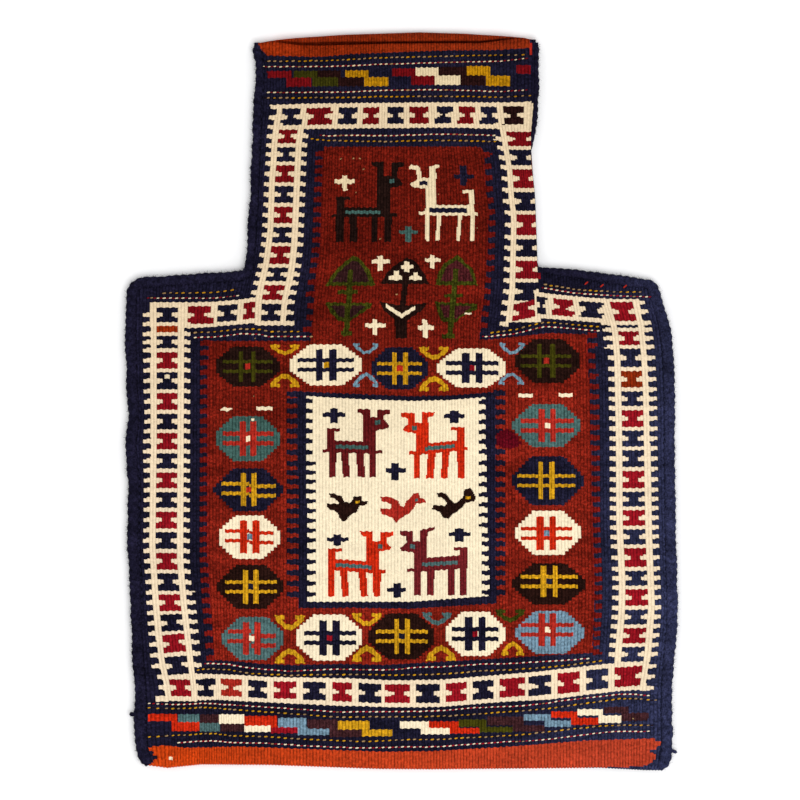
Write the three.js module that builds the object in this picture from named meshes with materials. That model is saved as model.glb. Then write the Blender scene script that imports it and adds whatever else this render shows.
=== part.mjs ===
// Kilim salt bag lying flat on its back: the patterned front faces +Z and the mouth opens towards +Y.
// One long woven strip is folded at the bottom, and an overcast binding closes each side edge.
import * as THREE from "three";

// Pouch and neck, in millimetres, measured on the cloth
const bodyWidth = 395;
const bodyLength = 361;
const neckWidth = 202;
const neckLength = 167;
const neckShift = -3.5;
const backLipReach = 9.5;
const clothThickness = 2.5;

// Hand-woven irregularities of the outline
const leftBottomTaper = 8.5;
const rightBottomTaper = 4;
const taperLength = 200;
const rightTopLean = 10;
const rightLeanLength = 55;
const leftShoulderFall = 4.5;
const rightShoulderFall = 9;
const shoulderCornerRadius = 9;
const neckLeftFlare = 6.5;
const neckRightWaist = 5;
const neckRightFlare = -2;

// Room inside: the two layers part away from the closed edges
const closedGap = 0.8;
const pouchRise = 9.2;
const riseDistance = 52;
const settleDistance = 24;
const rippleHeight = 1.1;
const rippleWidth = 150;
const rippleLength = 210;

// Weave: each rib stands for two neighbouring warps
const ribPitch = 5.1;
const ribHeight = 0.9;
const ribFadeLength = 5;
const ribsPerSmoothColumn = 4;

// Overcast edge binding, a sleeve around both layers
const bindingReach = 7;
const bindingWall = 1.9;
const bindingClearance = 0.3;
const bindingRoundness = 0.7;

// Grid of the cloth: a flat hem under the bindings, close rows where the layers part, wide rows elsewhere
const hemMargin = 2;
const hemSteps = 3;
const neckHemRibs = 2;
const cornerMargin = 3;
const slopeRowShares = [0, 0.32, 0.6, 1];
const bodyRowSpacing = 58;
const neckRowSpacing = 41;
const foldSteps = 6;

// Worked-out sizes
const stackHeight = 2 * clothThickness + closedGap;
const channelHalfHeight = stackHeight / 2 + bindingClearance;
const bindingHalfHeight = channelHalfHeight + bindingWall;
const bindingBulge = bindingClearance + bindingWall;
const seamHeight = bindingHalfHeight;
const foldRadius = stackHeight / 2;
const foldBottomY = -(bodyLength + neckLength + backLipReach) / 2;
const foldY = foldBottomY + foldRadius;
const shoulderY = foldBottomY + bodyLength;
const mouthY = shoulderY + neckLength;
const hemWidth = bindingReach + hemMargin;
const flatReach = hemWidth * Math.SQRT2;
const rightLeanTop = shoulderY - rightShoulderFall - shoulderCornerRadius;
const shoulderHem = shoulderCornerRadius + cornerMargin;

const yarnColours = { cloth: 0x8a2f1c, binding: 0x171a33 };

const lerp = THREE.MathUtils.lerp;
const clamp = THREE.MathUtils.clamp;
const ease = (value) => THREE.MathUtils.smoothstep(value, 0, 1);

// Guide lines: the x of an edge at a given y
function bottomTaper(y) {
  const share = clamp((foldBottomY + taperLength - y) / taperLength, 0, 1);
  return share * share;
}

function leftSide(y) {
  return -bodyWidth / 2 + leftBottomTaper * bottomTaper(y);
}

function rightSide(y) {
  const leanShare = clamp((y - rightLeanTop + rightLeanLength) / rightLeanLength, 0, 1);
  const lean = rightTopLean * leanShare * leanShare;
  return bodyWidth / 2 - rightBottomTaper * bottomTaper(y) - lean;
}

function neckShare(y) {
  return clamp((mouthY - y) / neckLength, 0, 1);
}

function neckLeft(y) {
  const share = neckShare(y);
  return neckShift - neckWidth / 2 - neckLeftFlare * share * share;
}

function neckRight(y) {
  const share = neckShare(y);
  return neckShift + neckWidth / 2 - neckRightWaist * Math.sin(Math.PI * share) + neckRightFlare * share;
}

// Height of the shoulder line, which falls away from the neck on both sides
function shoulderFall(x) {
  const left = neckLeft(shoulderY);
  const right = neckRight(shoulderY);
  const leftShare = clamp((left - x) / (left - leftSide(shoulderY)), 0, 1);
  const rightShare = clamp((x - right) / (rightSide(shoulderY) - right), 0, 1);
  return leftShoulderFall * leftShare + rightShoulderFall * rightShare;
}

function shoulderLevel(x) {
  return shoulderY - shoulderFall(x);
}

// How far a point lies from the nearest closed edge: sides, shoulders, neck edges or bottom fold
function edgeDistance(x, y) {
  if (y >= shoulderY) {
    return Math.max(Math.min(x - neckLeft(y), neckRight(y) - x), 0);
  }
  const below = Math.max(shoulderLevel(x) - y, 0);
  const toLeftShoulder = Math.hypot(Math.max(x - neckLeft(shoulderY), 0), below);
  const toRightShoulder = Math.hypot(Math.max(neckRight(shoulderY) - x, 0), below);
  const toSides = Math.min(x - leftSide(y), rightSide(y) - x);
  const toFold = y - foldY;
  return Math.max(Math.min(toLeftShoulder, toRightShoulder, toSides, toFold), 0);
}

// Heights of the four cloth faces over the surface that the bag lies on
function pouchShare(x, y) {
  return ease((edgeDistance(x, y) - hemWidth) / riseDistance);
}

function ripple(x, y) {
  const across = Math.sin((2 * Math.PI * x) / rippleWidth);
  const along = Math.cos((2 * Math.PI * y) / rippleLength);
  return rippleHeight * across * along;
}

function frontInside(x, y) {
  const share = pouchShare(x, y);
  return seamHeight + closedGap / 2 + (pouchRise + ripple(x, y)) * share;
}

function frontOutside(x, y, isCrest) {
  const fade = ease((edgeDistance(x, y) - flatReach) / ribFadeLength);
  const rib = isCrest ? ribHeight * fade : 0;
  return frontInside(x, y) + clothThickness + rib;
}

function backOutside(x, y) {
  const settled = ease((edgeDistance(x, y) - hemWidth) / settleDistance);
  return (seamHeight - stackHeight / 2) * (1 - settled);
}

function backInside(x, y) {
  return backOutside(x, y) + clothThickness;
}

// Columns of the cloth grid: zones between guide lines, each filled with ribs
const shoulderNeckLeft = neckLeft(shoulderY);
const shoulderNeckRight = neckRight(shoulderY);

function ribCount(width) {
  return Math.max(ribsPerSmoothColumn, Math.round(width / ribPitch));
}

const zones = [
  { from: leftSide, to: (y) => leftSide(y) + hemWidth, steps: hemSteps, ribbed: false },
  {
    from: (y) => leftSide(y) + hemWidth,
    to: neckLeft,
    steps: 2 * ribCount(shoulderNeckLeft - leftSide(shoulderY) - hemWidth),
    ribbed: true,
  },
  { from: neckLeft, to: (y) => neckLeft(y) + hemWidth, steps: 2 * neckHemRibs, ribbed: true, inNeck: true },
  {
    from: (y) => neckLeft(y) + hemWidth,
    to: (y) => neckRight(y) - hemWidth,
    steps: 2 * ribCount(neckWidth - 2 * hemWidth),
    ribbed: true,
    inNeck: true,
  },
  { from: (y) => neckRight(y) - hemWidth, to: neckRight, steps: 2 * neckHemRibs, ribbed: true, inNeck: true },
  {
    from: neckRight,
    to: (y) => rightSide(y) - hemWidth,
    steps: 2 * ribCount(rightSide(shoulderY) - hemWidth - shoulderNeckRight),
    ribbed: true,
  },
  { from: (y) => rightSide(y) - hemWidth, to: rightSide, steps: hemSteps, ribbed: false },
];

function makeColumns() {
  const columns = [];
  zones.forEach((zone) => {
    const smoothStep = zone.ribbed ? 2 * ribsPerSmoothColumn : zone.steps;
    for (let step = 0; step < zone.steps; step += 1) {
      columns.push({
        zone,
        share: step / zone.steps,
        isCrest: zone.ribbed && step % 2 === 1,
        isSmooth: step % smoothStep === 0,
        position: columns.length,
      });
    }
  });
  const lastZone = zones[zones.length - 1];
  columns.push({ zone: lastZone, share: 1, isCrest: false, isSmooth: true, position: columns.length });
  return columns;
}

const columns = makeColumns();
const neckStart = columns.findIndex((column) => column.zone.inNeck);
const neckEnd = columns.findIndex((column) => column.position > neckStart && !column.zone.inNeck);
const neckColumns = columns.slice(neckStart, neckEnd + 1);

function columnX(column, y) {
  return lerp(column.zone.from(y), column.zone.to(y), column.share);
}

// Rows of the cloth grid: the shoulder line with its round outer corners, the fold and the two lips
function cornerDrop(distance) {
  const inside = clamp(shoulderCornerRadius - distance, 0, shoulderCornerRadius);
  return shoulderCornerRadius - Math.sqrt(shoulderCornerRadius ** 2 - inside ** 2);
}

function bodyLevel(x, drop) {
  const fade = 1 - drop / (shoulderY - foldY);
  const level = shoulderY - drop - shoulderFall(x) * fade;
  if (drop > 0) {
    return level;
  }
  return level - cornerDrop(x - leftSide(shoulderY)) - cornerDrop(rightSide(shoulderY) - x);
}

function frontLip() {
  return mouthY;
}

function backLip(x) {
  const middle = (neckLeft(mouthY) + neckRight(mouthY)) / 2;
  const offset = clamp((x - middle) / (neckWidth / 2), -1, 1);
  return mouthY + backLipReach * Math.sqrt(1 - offset * offset);
}

// Distances below the shoulder line, close together where the layers part
function bodyDrops() {
  const slopeDrops = slopeRowShares.map((share) => hemWidth + share * riseDistance);
  const total = shoulderY - foldY;
  const upper = [0, ...slopeDrops.map((drop) => drop + shoulderHem - hemWidth)];
  const lower = slopeDrops.map((drop) => total - drop).reverse();
  const middleStart = upper[upper.length - 1];
  const middleLength = lower[0] - middleStart;
  const middleCount = Math.max(1, Math.round(middleLength / bodyRowSpacing));
  const middle = [];
  for (let step = 1; step < middleCount; step += 1) {
    middle.push(middleStart + (middleLength * step) / middleCount);
  }
  return [...upper, ...middle, ...lower, total];
}

const drops = bodyDrops();
const neckRowCount = Math.max(2, Math.round(neckLength / neckRowSpacing));

// Collects shared vertices and triangles of one closed body
class Body {
  constructor() {
    this.points = [];
    this.triangles = [];
  }

  addRow(rowColumns, place) {
    return rowColumns.map((column) => {
      this.points.push(...place(column));
      return { id: this.points.length / 3 - 1, position: column.position };
    });
  }

  // Zips two rows that share their end positions, whatever their number of columns
  stitch(first, second) {
    let i = 0;
    let j = 0;
    while (i < first.length - 1 || j < second.length - 1) {
      const firstNext = i < first.length - 1 ? first[i + 1].position : Infinity;
      const secondNext = j < second.length - 1 ? second[j + 1].position : Infinity;
      if (firstNext <= secondNext) {
        this.triangles.push(first[i].id, second[j].id, first[i + 1].id);
        i += 1;
      } else {
        this.triangles.push(first[i].id, second[j].id, second[j + 1].id);
        j += 1;
      }
    }
  }

  stitchRows(rows, isInside) {
    for (let row = 0; row + 1 < rows.length; row += 1) {
      if (isInside) {
        this.stitch(rows[row + 1], rows[row]);
      } else {
        this.stitch(rows[row], rows[row + 1]);
      }
    }
  }

  geometry() {
    const geometry = new THREE.BufferGeometry();
    geometry.setAttribute("position", new THREE.Float32BufferAttribute(this.points, 3));
    geometry.setIndex(this.triangles);
    geometry.computeVertexNormals();
    return geometry;
  }
}

function between(row, start, end) {
  return row.filter((vertex) => vertex.position >= start && vertex.position <= end);
}

// Numbers a chain of vertices by its order, so that two chains along an edge can be zipped
function chain(rows, pick) {
  return rows.map((row, order) => ({ id: pick(row).id, position: order }));
}

const firstOf = (row) => row[0];
const lastOf = (row) => row[row.length - 1];

// One face of the strip, outside or inside: body and neck rows from the front lip round to the back lip
function makeFace(body, isInside) {
  const smoothColumns = columns.filter((column) => column.isSmooth);
  const frontColumns = isInside ? smoothColumns : columns;
  const radius = isInside ? closedGap / 2 : foldRadius;
  const frontHeight = isInside ? frontInside : frontOutside;
  const backHeight = isInside ? backInside : backOutside;
  const isNeck = (column) => neckColumns.includes(column);

  const place = (levelAt, heightAt) => (column) => {
    const x = columnX(column, levelAt(columnX(column, shoulderY)));
    const y = levelAt(x);
    return [x, y, heightAt(x, y, column.isCrest)];
  };
  const neckLevels = (lip) => {
    const levels = [];
    for (let step = 0; step < neckRowCount; step += 1) {
      levels.push((x) => lerp(lip(x), shoulderY, step / neckRowCount));
    }
    return levels;
  };
  const dropLevel = (drop) => (x) => bodyLevel(x, drop);

  const frontNeck = neckLevels(frontLip).map((level) => {
    return body.addRow(frontColumns.filter(isNeck), place(level, frontHeight));
  });
  const frontBody = drops.map((drop) => body.addRow(frontColumns, place(dropLevel(drop), frontHeight)));
  const fold = [];
  for (let step = 1; step < foldSteps; step += 1) {
    const angle = (Math.PI * step) / foldSteps;
    const y = foldY - radius * Math.sin(angle);
    const z = seamHeight + radius * Math.cos(angle);
    fold.push(body.addRow(smoothColumns, (column) => [columnX(column, foldY), y, z]));
  }
  const backDrops = [...drops].reverse();
  const backBody = backDrops.map((drop) => body.addRow(smoothColumns, place(dropLevel(drop), backHeight)));
  const backNeck = neckLevels(backLip).reverse().map((level) => {
    return body.addRow(smoothColumns.filter(isNeck), place(level, backHeight));
  });

  const start = neckColumns[0].position;
  const end = lastOf(neckColumns).position;
  const frontNeckRows = [...frontNeck, between(frontBody[0], start, end)];
  const pouchRows = [...frontBody, ...fold, ...backBody];
  const backNeckRows = [between(lastOf(backBody), start, end), ...backNeck];
  body.stitchRows(frontNeckRows, isInside);
  body.stitchRows(pouchRows, isInside);
  body.stitchRows(backNeckRows, isInside);
  return { frontNeckRows, pouchRows, backNeckRows, start, end };
}

// Closes the cut edges of the cloth between its outside and inside faces
function closeRims(body, outside, inside) {
  ["frontNeckRows", "pouchRows", "backNeckRows"].forEach((part) => {
    body.stitch(chain(outside[part], firstOf), chain(inside[part], firstOf));
    body.stitch(chain(inside[part], lastOf), chain(outside[part], lastOf));
  });
  body.stitch(firstOf(inside.frontNeckRows), firstOf(outside.frontNeckRows));
  body.stitch(lastOf(outside.backNeckRows), lastOf(inside.backNeckRows));
  const lastPosition = lastOf(columns).position;
  [[0, outside.start], [outside.end, lastPosition]].forEach(([from, to]) => {
    const frontEdge = (face) => between(firstOf(face.pouchRows), from, to);
    const backEdge = (face) => between(lastOf(face.pouchRows), from, to);
    body.stitch(frontEdge(inside), frontEdge(outside));
    body.stitch(backEdge(outside), backEdge(inside));
  });
}

function makeCloth() {
  const body = new Body();
  const outside = makeFace(body, false);
  const inside = makeFace(body, true);
  closeRims(body, outside, inside);
  return body.geometry();
}

// The cloth edge that a binding follows, from the lip down to the bottom fold
function edgePath(isLeft) {
  const neckEdge = isLeft ? neckLeft : neckRight;
  const side = isLeft ? leftSide : rightSide;
  const shoulderColumns = isLeft ? columns.slice(0, neckStart) : columns.slice(neckEnd + 1);
  const path = [];
  for (let step = 0; step < neckRowCount; step += 1) {
    const y = lerp(mouthY, shoulderY, step / neckRowCount);
    path.push(new THREE.Vector2(neckEdge(y), y));
  }
  path.push(new THREE.Vector2(neckEdge(shoulderY), shoulderY));
  const cornerColumns = shoulderColumns.filter((column) => column.isSmooth || !column.zone.ribbed);
  const outward = isLeft ? cornerColumns.reverse() : cornerColumns;
  outward.forEach((column) => {
    const x = columnX(column, bodyLevel(columnX(column, shoulderY), 0));
    path.push(new THREE.Vector2(x, bodyLevel(x, 0)));
  });
  drops.slice(1).forEach((drop) => {
    const y = bodyLevel(side(shoulderY - drop), drop);
    path.push(new THREE.Vector2(side(y), y));
  });
  path.push(new THREE.Vector2(side(foldY), foldBottomY));
  return isLeft ? path : path.reverse();
}

// Section of the sleeve: x points away from the cloth, y is height from the seam's middle
function bindingSection() {
  const lipHeight = (channelHalfHeight + bindingHalfHeight) / 2;
  const upper = [
    new THREE.Vector2(bindingBulge, 0),
    new THREE.Vector2(bindingBulge * bindingRoundness, bindingHalfHeight * bindingRoundness),
    new THREE.Vector2(0, bindingHalfHeight),
    new THREE.Vector2(bindingWall - bindingReach, bindingHalfHeight),
    new THREE.Vector2(-bindingReach, lipHeight),
    new THREE.Vector2(-bindingReach, channelHalfHeight),
    new THREE.Vector2(bindingClearance, channelHalfHeight),
  ];
  const mirrored = upper.slice(1).map((point) => new THREE.Vector2(point.x, -point.y));
  return [...upper, ...mirrored.reverse()];
}

function makeBinding(isLeft) {
  const path = edgePath(isLeft);
  const section = bindingSection();
  const body = new Body();
  const rings = path.map((point, index) => {
    const before = path[Math.max(index - 1, 0)];
    const after = path[Math.min(index + 1, path.length - 1)];
    const arriving = index > 0 ? point.clone().sub(before) : after.clone().sub(point);
    const leaving = index < path.length - 1 ? after.clone().sub(point) : arriving.clone();
    arriving.normalize();
    leaving.normalize();
    const along = arriving.clone().add(leaving).normalize();
    const mitre = 1 / along.dot(arriving);
    const outward = new THREE.Vector2(along.y, -along.x).multiplyScalar(mitre);
    const corners = section.map((corner, order) => ({ corner, position: order }));
    return body.addRow(corners, ({ corner }) => [
      point.x + outward.x * corner.x,
      point.y + outward.y * corner.x,
      seamHeight + corner.y,
    ]);
  });
  for (let ring = 0; ring + 1 < rings.length; ring += 1) {
    section.forEach((_, order) => {
      const next = (order + 1) % section.length;
      const here = rings[ring];
      const there = rings[ring + 1];
      body.triangles.push(here[order].id, there[order].id, here[next].id);
      body.triangles.push(here[next].id, there[order].id, there[next].id);
    });
  }
  const lastRing = lastOf(rings);
  THREE.ShapeUtils.triangulateShape(section, []).forEach(([a, b, c]) => {
    body.triangles.push(rings[0][a].id, rings[0][b].id, rings[0][c].id);
    body.triangles.push(lastRing[c].id, lastRing[b].id, lastRing[a].id);
  });
  return body.geometry();
}

function wool(colour) {
  return new THREE.MeshStandardMaterial({ color: colour, roughness: 0.95, metalness: 0 });
}

function namedMesh(name, geometry, colour) {
  const mesh = new THREE.Mesh(geometry, wool(colour));
  mesh.name = name;
  return mesh;
}

const saltBag = new THREE.Group();
saltBag.add(namedMesh("bag_cloth", makeCloth(), yarnColours.cloth));
saltBag.add(namedMesh("left_edge_binding", makeBinding(true), yarnColours.binding));
saltBag.add(namedMesh("right_edge_binding", makeBinding(false), yarnColours.binding));

export default saltBag;
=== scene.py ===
import bisect
import math
import random

import bmesh
import bpy
import numpy as np
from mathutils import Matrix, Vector


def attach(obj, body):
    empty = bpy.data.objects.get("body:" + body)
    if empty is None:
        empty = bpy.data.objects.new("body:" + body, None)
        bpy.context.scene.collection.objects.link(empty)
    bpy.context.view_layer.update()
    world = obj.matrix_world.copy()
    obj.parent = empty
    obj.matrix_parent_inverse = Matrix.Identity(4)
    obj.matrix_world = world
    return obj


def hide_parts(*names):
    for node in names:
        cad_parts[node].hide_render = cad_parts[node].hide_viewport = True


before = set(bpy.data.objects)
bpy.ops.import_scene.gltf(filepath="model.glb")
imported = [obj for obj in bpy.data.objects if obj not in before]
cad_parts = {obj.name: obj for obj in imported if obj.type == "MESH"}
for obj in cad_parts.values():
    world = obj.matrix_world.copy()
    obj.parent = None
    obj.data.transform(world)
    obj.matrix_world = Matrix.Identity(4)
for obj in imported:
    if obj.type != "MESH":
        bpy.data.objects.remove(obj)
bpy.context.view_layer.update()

chance = random.Random(7)

# Scale of the cartoon: a thread in millimetres, and places in threads
THREAD = 0.73
CARTOON_SIDE = 800
CARTOON_MIDDLE = (401, 400.5)
CARTOON_TOP = 26
CARTOON_BOTTOM = 772
SAMPLE_STEP = 0.4
MOUTH_LEVEL = 45
SHOULDER_LEVEL = 280
FOLD_LEVEL = 764
LEFT_NECK_FOOT = 274
RIGHT_NECK_FOOT = 270

# Weave: thickness, ribs and picks in millimetres, scallops and rows in threads
CLOTH_THICKNESS = 2.5
RIB_DEPTH = 0.5
PICK = 1.3
STRIPS_PER_RIB = 3
SCALLOP = 0.42
SCALLOP_RANGE = (0.5, 1.3)
FRONT_ROW_SPACING = 20
BACK_ROW_SPACING = 40
ROW_CLEARANCE = 1
FOLD_STEPS = 6
FOLD_LINING_STEPS = 2

# Lie of the bag, in millimetres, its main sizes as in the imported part. The droop of the mouth is a share
# of the rise
BODY_WIDTH = 395
BODY_LENGTH = 361
NECK_WIDTH = 202
NECK_LENGTH = 167
NECK_SHIFT = -3.5
BACK_LIP_REACH = 9.5
CLOSED_GAP = 0.8
POUCH_RISE = 9.2
RISE_DISTANCE = 52
SETTLE_DISTANCE = 24
HEM_WIDTH = 9
MOUTH_DROOP = 0.65
MOUTH_DROOP_LENGTH = 38
SLOT_SLOPE = 0.9
LIP_DROP = 0.8
LIP_FALL = 5.5
LIP_FALL_START = 3
LIP_FALL_LENGTH = 7
LIP_HEM = 4
LIP_SETTLE = 14
RIPPLE_HEIGHT = 1.1
RIPPLE_WIDTH = 150
RIPPLE_LENGTH = 210
SEAM_HEIGHT = 5.1
FOLD_RADIUS = CLOTH_THICKNESS + CLOSED_GAP / 2
FOLD_Y = -(BODY_LENGTH + NECK_LENGTH + BACK_LIP_REACH) / 2 + FOLD_RADIUS
SHOULDER_Y = FOLD_Y - FOLD_RADIUS + BODY_LENGTH
MOUTH_Y = SHOULDER_Y + NECK_LENGTH

# Overcast binding along the side edges, in millimetres. The slant is how far a wrap lags from one point of
# the section to the next, in wraps. The low and the swell of a wrap and the size at the ends are shares of
# the full size. Loose fibres start at the numbered points of the section, and their rise and lean are
# shares of their length
BINDING_REACH = 7
BINDING_BULGE = 2.4
BINDING_HALF_HEIGHT = 5.1
BINDING_INNER_HALF = 3.2
BINDING_END = 5
BINDING_END_SIZE = 0.6
BINDING_FLOOR_GAP = 0.02
SLACK_COVER_LOSS = 0.8
WRAP_PITCH = 5.4
WRAP_SLANT = 0.09
WRAP_LOW = 0.84
WRAP_SWELL = 0.26
ROWS_PER_WRAP = 8
WOBBLE = 0.5
WOBBLE_LENGTH = 7
FUZZ_SPACING = 0.5
FUZZ_LENGTH = (0.6, 2.4)
FUZZ_RADIUS = 0.12
FUZZ_DEPTH = 0.4
FUZZ_RISE = (-0.3, 0.5)
FUZZ_LEAN = (-1, 1)
FUZZ_ORDERS = (3, 4, 5, 6)

# Yarns: the colour, and the colour it drifts to farther down the bag, for some yarns farther right, as
# display red, green and blue
YARNS = {
    "navy": ((24, 22, 40), (42, 45, 72)),
    "brick": ((96, 20, 10), (121, 29, 17)),
    "dark_brick": ((94, 16, 11), (108, 20, 15)),
    "crimson": ((108, 12, 17), (142, 18, 29)),
    "wine": ((86, 7, 20), (86, 7, 20)),
    "ivory": ((218, 197, 158), (237, 221, 189)),
    "cream": ((222, 199, 164), (232, 211, 180)),
    "rust": ((188, 60, 14), (177, 61, 37)),
    "mouth_rust": ((144, 43, 10), (130, 40, 13)),
    "dark_rust": ((128, 38, 10), (128, 38, 10)),
    "orange": ((194, 39, 14), (191, 39, 14)),
    "maroon": ((90, 20, 21), (106, 29, 33)),
    "red": ((162, 36, 24), (164, 40, 30)),
    "gold": ((172, 120, 10), (196, 144, 24)),
    "tan": ((150, 118, 78), (160, 130, 88)),
    "olive": ((50, 48, 8), (62, 60, 10)),
    "green": ((50, 52, 8), (54, 58, 12)),
    "teal": ((60, 90, 84), (74, 102, 102)),
    "sky": ((98, 136, 146), (108, 136, 154)),
    "brown": ((34, 14, 13), (58, 30, 33)),
    "black": ((25, 13, 10), (34, 16, 12)),
    "plum": ((62, 22, 24), (72, 26, 30)),
}
YARN_NAMES = list(YARNS)
NAVY = YARN_NAMES.index("navy")
RUST = YARN_NAMES.index("rust")
DARK_RUST = YARN_NAMES.index("dark_rust")

# How uneven each yarn's dye is, and the tone of the painted shade in the valleys between its ribs
STREAKS = {
    "brick": 0.5, "dark_brick": 0.4, "wine": 0.4, "navy": 0.5, "ivory": 0.09, "cream": 0.09, "rust": 0.25,
    "mouth_rust": 0.3, "dark_rust": 0.3, "green": 0.6, "plum": 0.5, "brown": 0.45, "black": 0.45,
}
COMMON_STREAK = 0.28
BINDING_STREAK = 0.6
VALLEY_PAINTED_SHADES = {"ivory": 0.78, "cream": 0.78}
COMMON_VALLEY_PAINTED_SHADE = 0.45

# Drift: most yarns drift toward their second colour down the bag, some more across it. A direction is the
# share of x and of -y, and a range is where along it the drift starts and ends, in metres
DOWN = (0.35, 1)
ACROSS = (1, 0.2)
DRIFT_ACROSS = {"navy": (0.12, 0.22), "rust": (-0.1, 0.2), "mouth_rust": (-0.1, 0)}
DRIFT_DOWN = {"maroon": (0, 0.12), "teal": (0, 0.12), "brick": (-0.1, 0.06), "dark_brick": (-0.1, 0.06)}
COMMON_DRIFT = (-0.2, 0.06)

# Edges of the cloth in threads: sides and neck edges as x at each y, shoulders, lips and fold as y at each
# x, and the slot behind the front lip as its width in millimetres at each x
LEFT_SIDE = [
    (290, 129), (340, 127.8), (365, 129.2), (392, 129.5), (404, 131.4), (420, 131.5), (446, 127.8),
    (480, 131), (530, 130.8), (542, 129.8), (556, 131), (584, 133), (628, 134), (704, 138), (720, 137),
    (752, 139.5), (760, 142), (767, 147),
]
RIGHT_SIDE = [
    (285, 654), (303, 659.8), (318, 664.8), (333, 668), (355, 670.5), (404, 672), (430, 672.4),
    (444, 671.7), (560, 673.4), (590, 674.4), (622, 674.6), (640, 673), (680, 669.7), (712, 669),
    (730, 669.8), (750, 669.2), (760, 667.8), (766, 665), (770, 661),
]
NECK_LEFT_EDGE = [
    (46, 255.8), (53, 255.8), (60, 258.6), (70, 259), (100, 257), (190, 253.3), (204, 253.4), (214, 251.2),
    (244, 251), (262, 248), (300, 238), (330, 236),
]
NECK_RIGHT_EDGE = [
    (46, 536), (66, 535.8), (100, 535.3), (125, 533.2), (152, 530.8), (163, 531.5), (190, 534.6),
    (200, 535.3), (275, 538), (330, 541.5),
]
LEFT_SHOULDER = [(130, 291), (131.5, 286), (135, 282.5), (141, 280.5), (246, 274)]
RIGHT_SHOULDER = [(537, 269), (566, 271.5), (634, 280.8), (650, 282.8), (654, 285.5), (658, 294)]
FRONT_LIP = [(254, 43), (270, 41), (300, 45), (320, 45.5), (390, 43.5), (480, 43), (515, 38.5), (536, 39)]
BACK_LIP = [(254, 43), (270, 40), (300, 37), (345, 34), (420, 31.5), (465, 33), (525, 37), (536, 40)]
SLOT_WIDTH = [(270, 0.9), (325, 2.4), (390, 1.2), (470, 1.4), (530, 0.9)]
BOTTOM_EDGE = [
    (138, 765), (167, 769), (201, 765.5), (270, 766), (380, 770), (430, 770.4), (600, 768.8), (645, 771.2),
    (670, 771.5),
]

# Rails of the ladder borders, as x at each y
BODY_LEFT_RAILS = (
    [(302, 153), (430, 153.5), (545, 152), (600, 155.3), (660, 160.8), (680, 165.7), (698, 168.5)],
    [(302, 181), (560, 180), (605, 184), (690, 194.5)],
)
BODY_RIGHT_RAILS = (
    [
        (300, 606), (330, 614.8), (360, 617.4), (440, 619), (525, 619.5), (580, 622.3), (612, 621.7),
        (660, 617.5),
    ],
    [
        (302, 636), (325, 641.2), (355, 644.4), (390, 646.4), (535, 649), (605, 652), (655, 648),
        (688, 642.7),
    ],
)
NECK_LEFT_RAILS = (
    [
        (108, 279), (115, 278.7), (120, 277), (140, 274.3), (165, 273), (175, 271.7), (230, 270),
        (265, 265.3), (295, 258.4), (321, 257.7),
    ],
    [(108, 304), (145, 298.6), (244, 294.4), (265, 292.2), (285, 288.8), (300, 285.2), (320, 283.5)],
)
NECK_RIGHT_RAIL = [
    (107, 499.5), (120, 501), (170, 510.3), (200, 512), (215, 514.7), (290, 512.6), (325, 508.3),
]
MIDDLE_LINE = [(0, 401), (800, 401)]

# Warp guides from left to right, each with the number of ribs up to the next one
WARP_GUIDES = [
    (LEFT_SIDE, 7), (BODY_LEFT_RAILS[0], 9), (BODY_LEFT_RAILS[1], 17), (NECK_LEFT_EDGE, 7),
    (NECK_LEFT_RAILS[0], 8), (NECK_LEFT_RAILS[1], 36), (MIDDLE_LINE, 36), (NECK_RIGHT_RAIL, 10),
    (NECK_RIGHT_EDGE, 24), (BODY_RIGHT_RAILS[0], 9), (BODY_RIGHT_RAILS[1], 7), (RIGHT_SIDE, 0),
]
NECK_GUIDES = (3, 8)


def at(curve, position):
    """The value of a curve, a list of (position, value) points, at one or many positions."""
    positions, values = zip(*curve)
    return np.interp(position, positions, values)


def shifted(curve, amount):
    return [(position, value + amount) for position, value in curve]


# Warp lines: x of every line at every sampled level of the cartoon
levels = np.arange(CARTOON_TOP, CARTOON_BOTTOM, SAMPLE_STEP)
guide_lines = [at(curve, levels) for curve, ribs in WARP_GUIDES]
line_rows = []
line_is_valley = []
guide_positions = []
for number, (curve, ribs) in enumerate(WARP_GUIDES):
    guide_positions.append(len(line_rows))
    steps = max(ribs * STRIPS_PER_RIB, 1)
    for step in range(steps):
        following = guide_lines[min(number + 1, len(guide_lines) - 1)]
        line_rows.append(guide_lines[number] + (following - guide_lines[number]) * step / steps)
        line_is_valley.append(step % STRIPS_PER_RIB == 0)
warp_lines = np.array(line_rows)
line_count = len(warp_lines)
all_lines = np.arange(line_count)
line_crest = np.where(line_is_valley, 0.0, 1.0)
strip_count = line_count - 1
strip_rib = np.arange(strip_count) // STRIPS_PER_RIB
rib_count = line_count // STRIPS_PER_RIB + 1
rib_scallop = [chance.uniform(*SCALLOP_RANGE) * (-1) ** rib for rib in range(rib_count)]
line_scallop = SCALLOP * line_crest * np.array(rib_scallop)[all_lines // STRIPS_PER_RIB]
neck_start, neck_end = [guide_positions[guide] for guide in NECK_GUIDES]
strip_x = (warp_lines[:-1] + warp_lines[1:]) / 2
rib_x = np.repeat(strip_x[STRIPS_PER_RIB // 2::STRIPS_PER_RIB], STRIPS_PER_RIB, axis=0)
yarn_at = np.full(strip_x.shape, NAVY, dtype=np.int16)


def line_x(line, level):
    """Where warp lines run at given levels, for arrays of lines and levels."""
    row = np.clip((level - CARTOON_TOP) / SAMPLE_STEP, 0, len(levels) - 1)
    before = np.minimum(row.astype(int), len(levels) - 2)
    share = row - before
    return warp_lines[line, before] * (1 - share) + warp_lines[line, before + 1] * share


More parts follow.
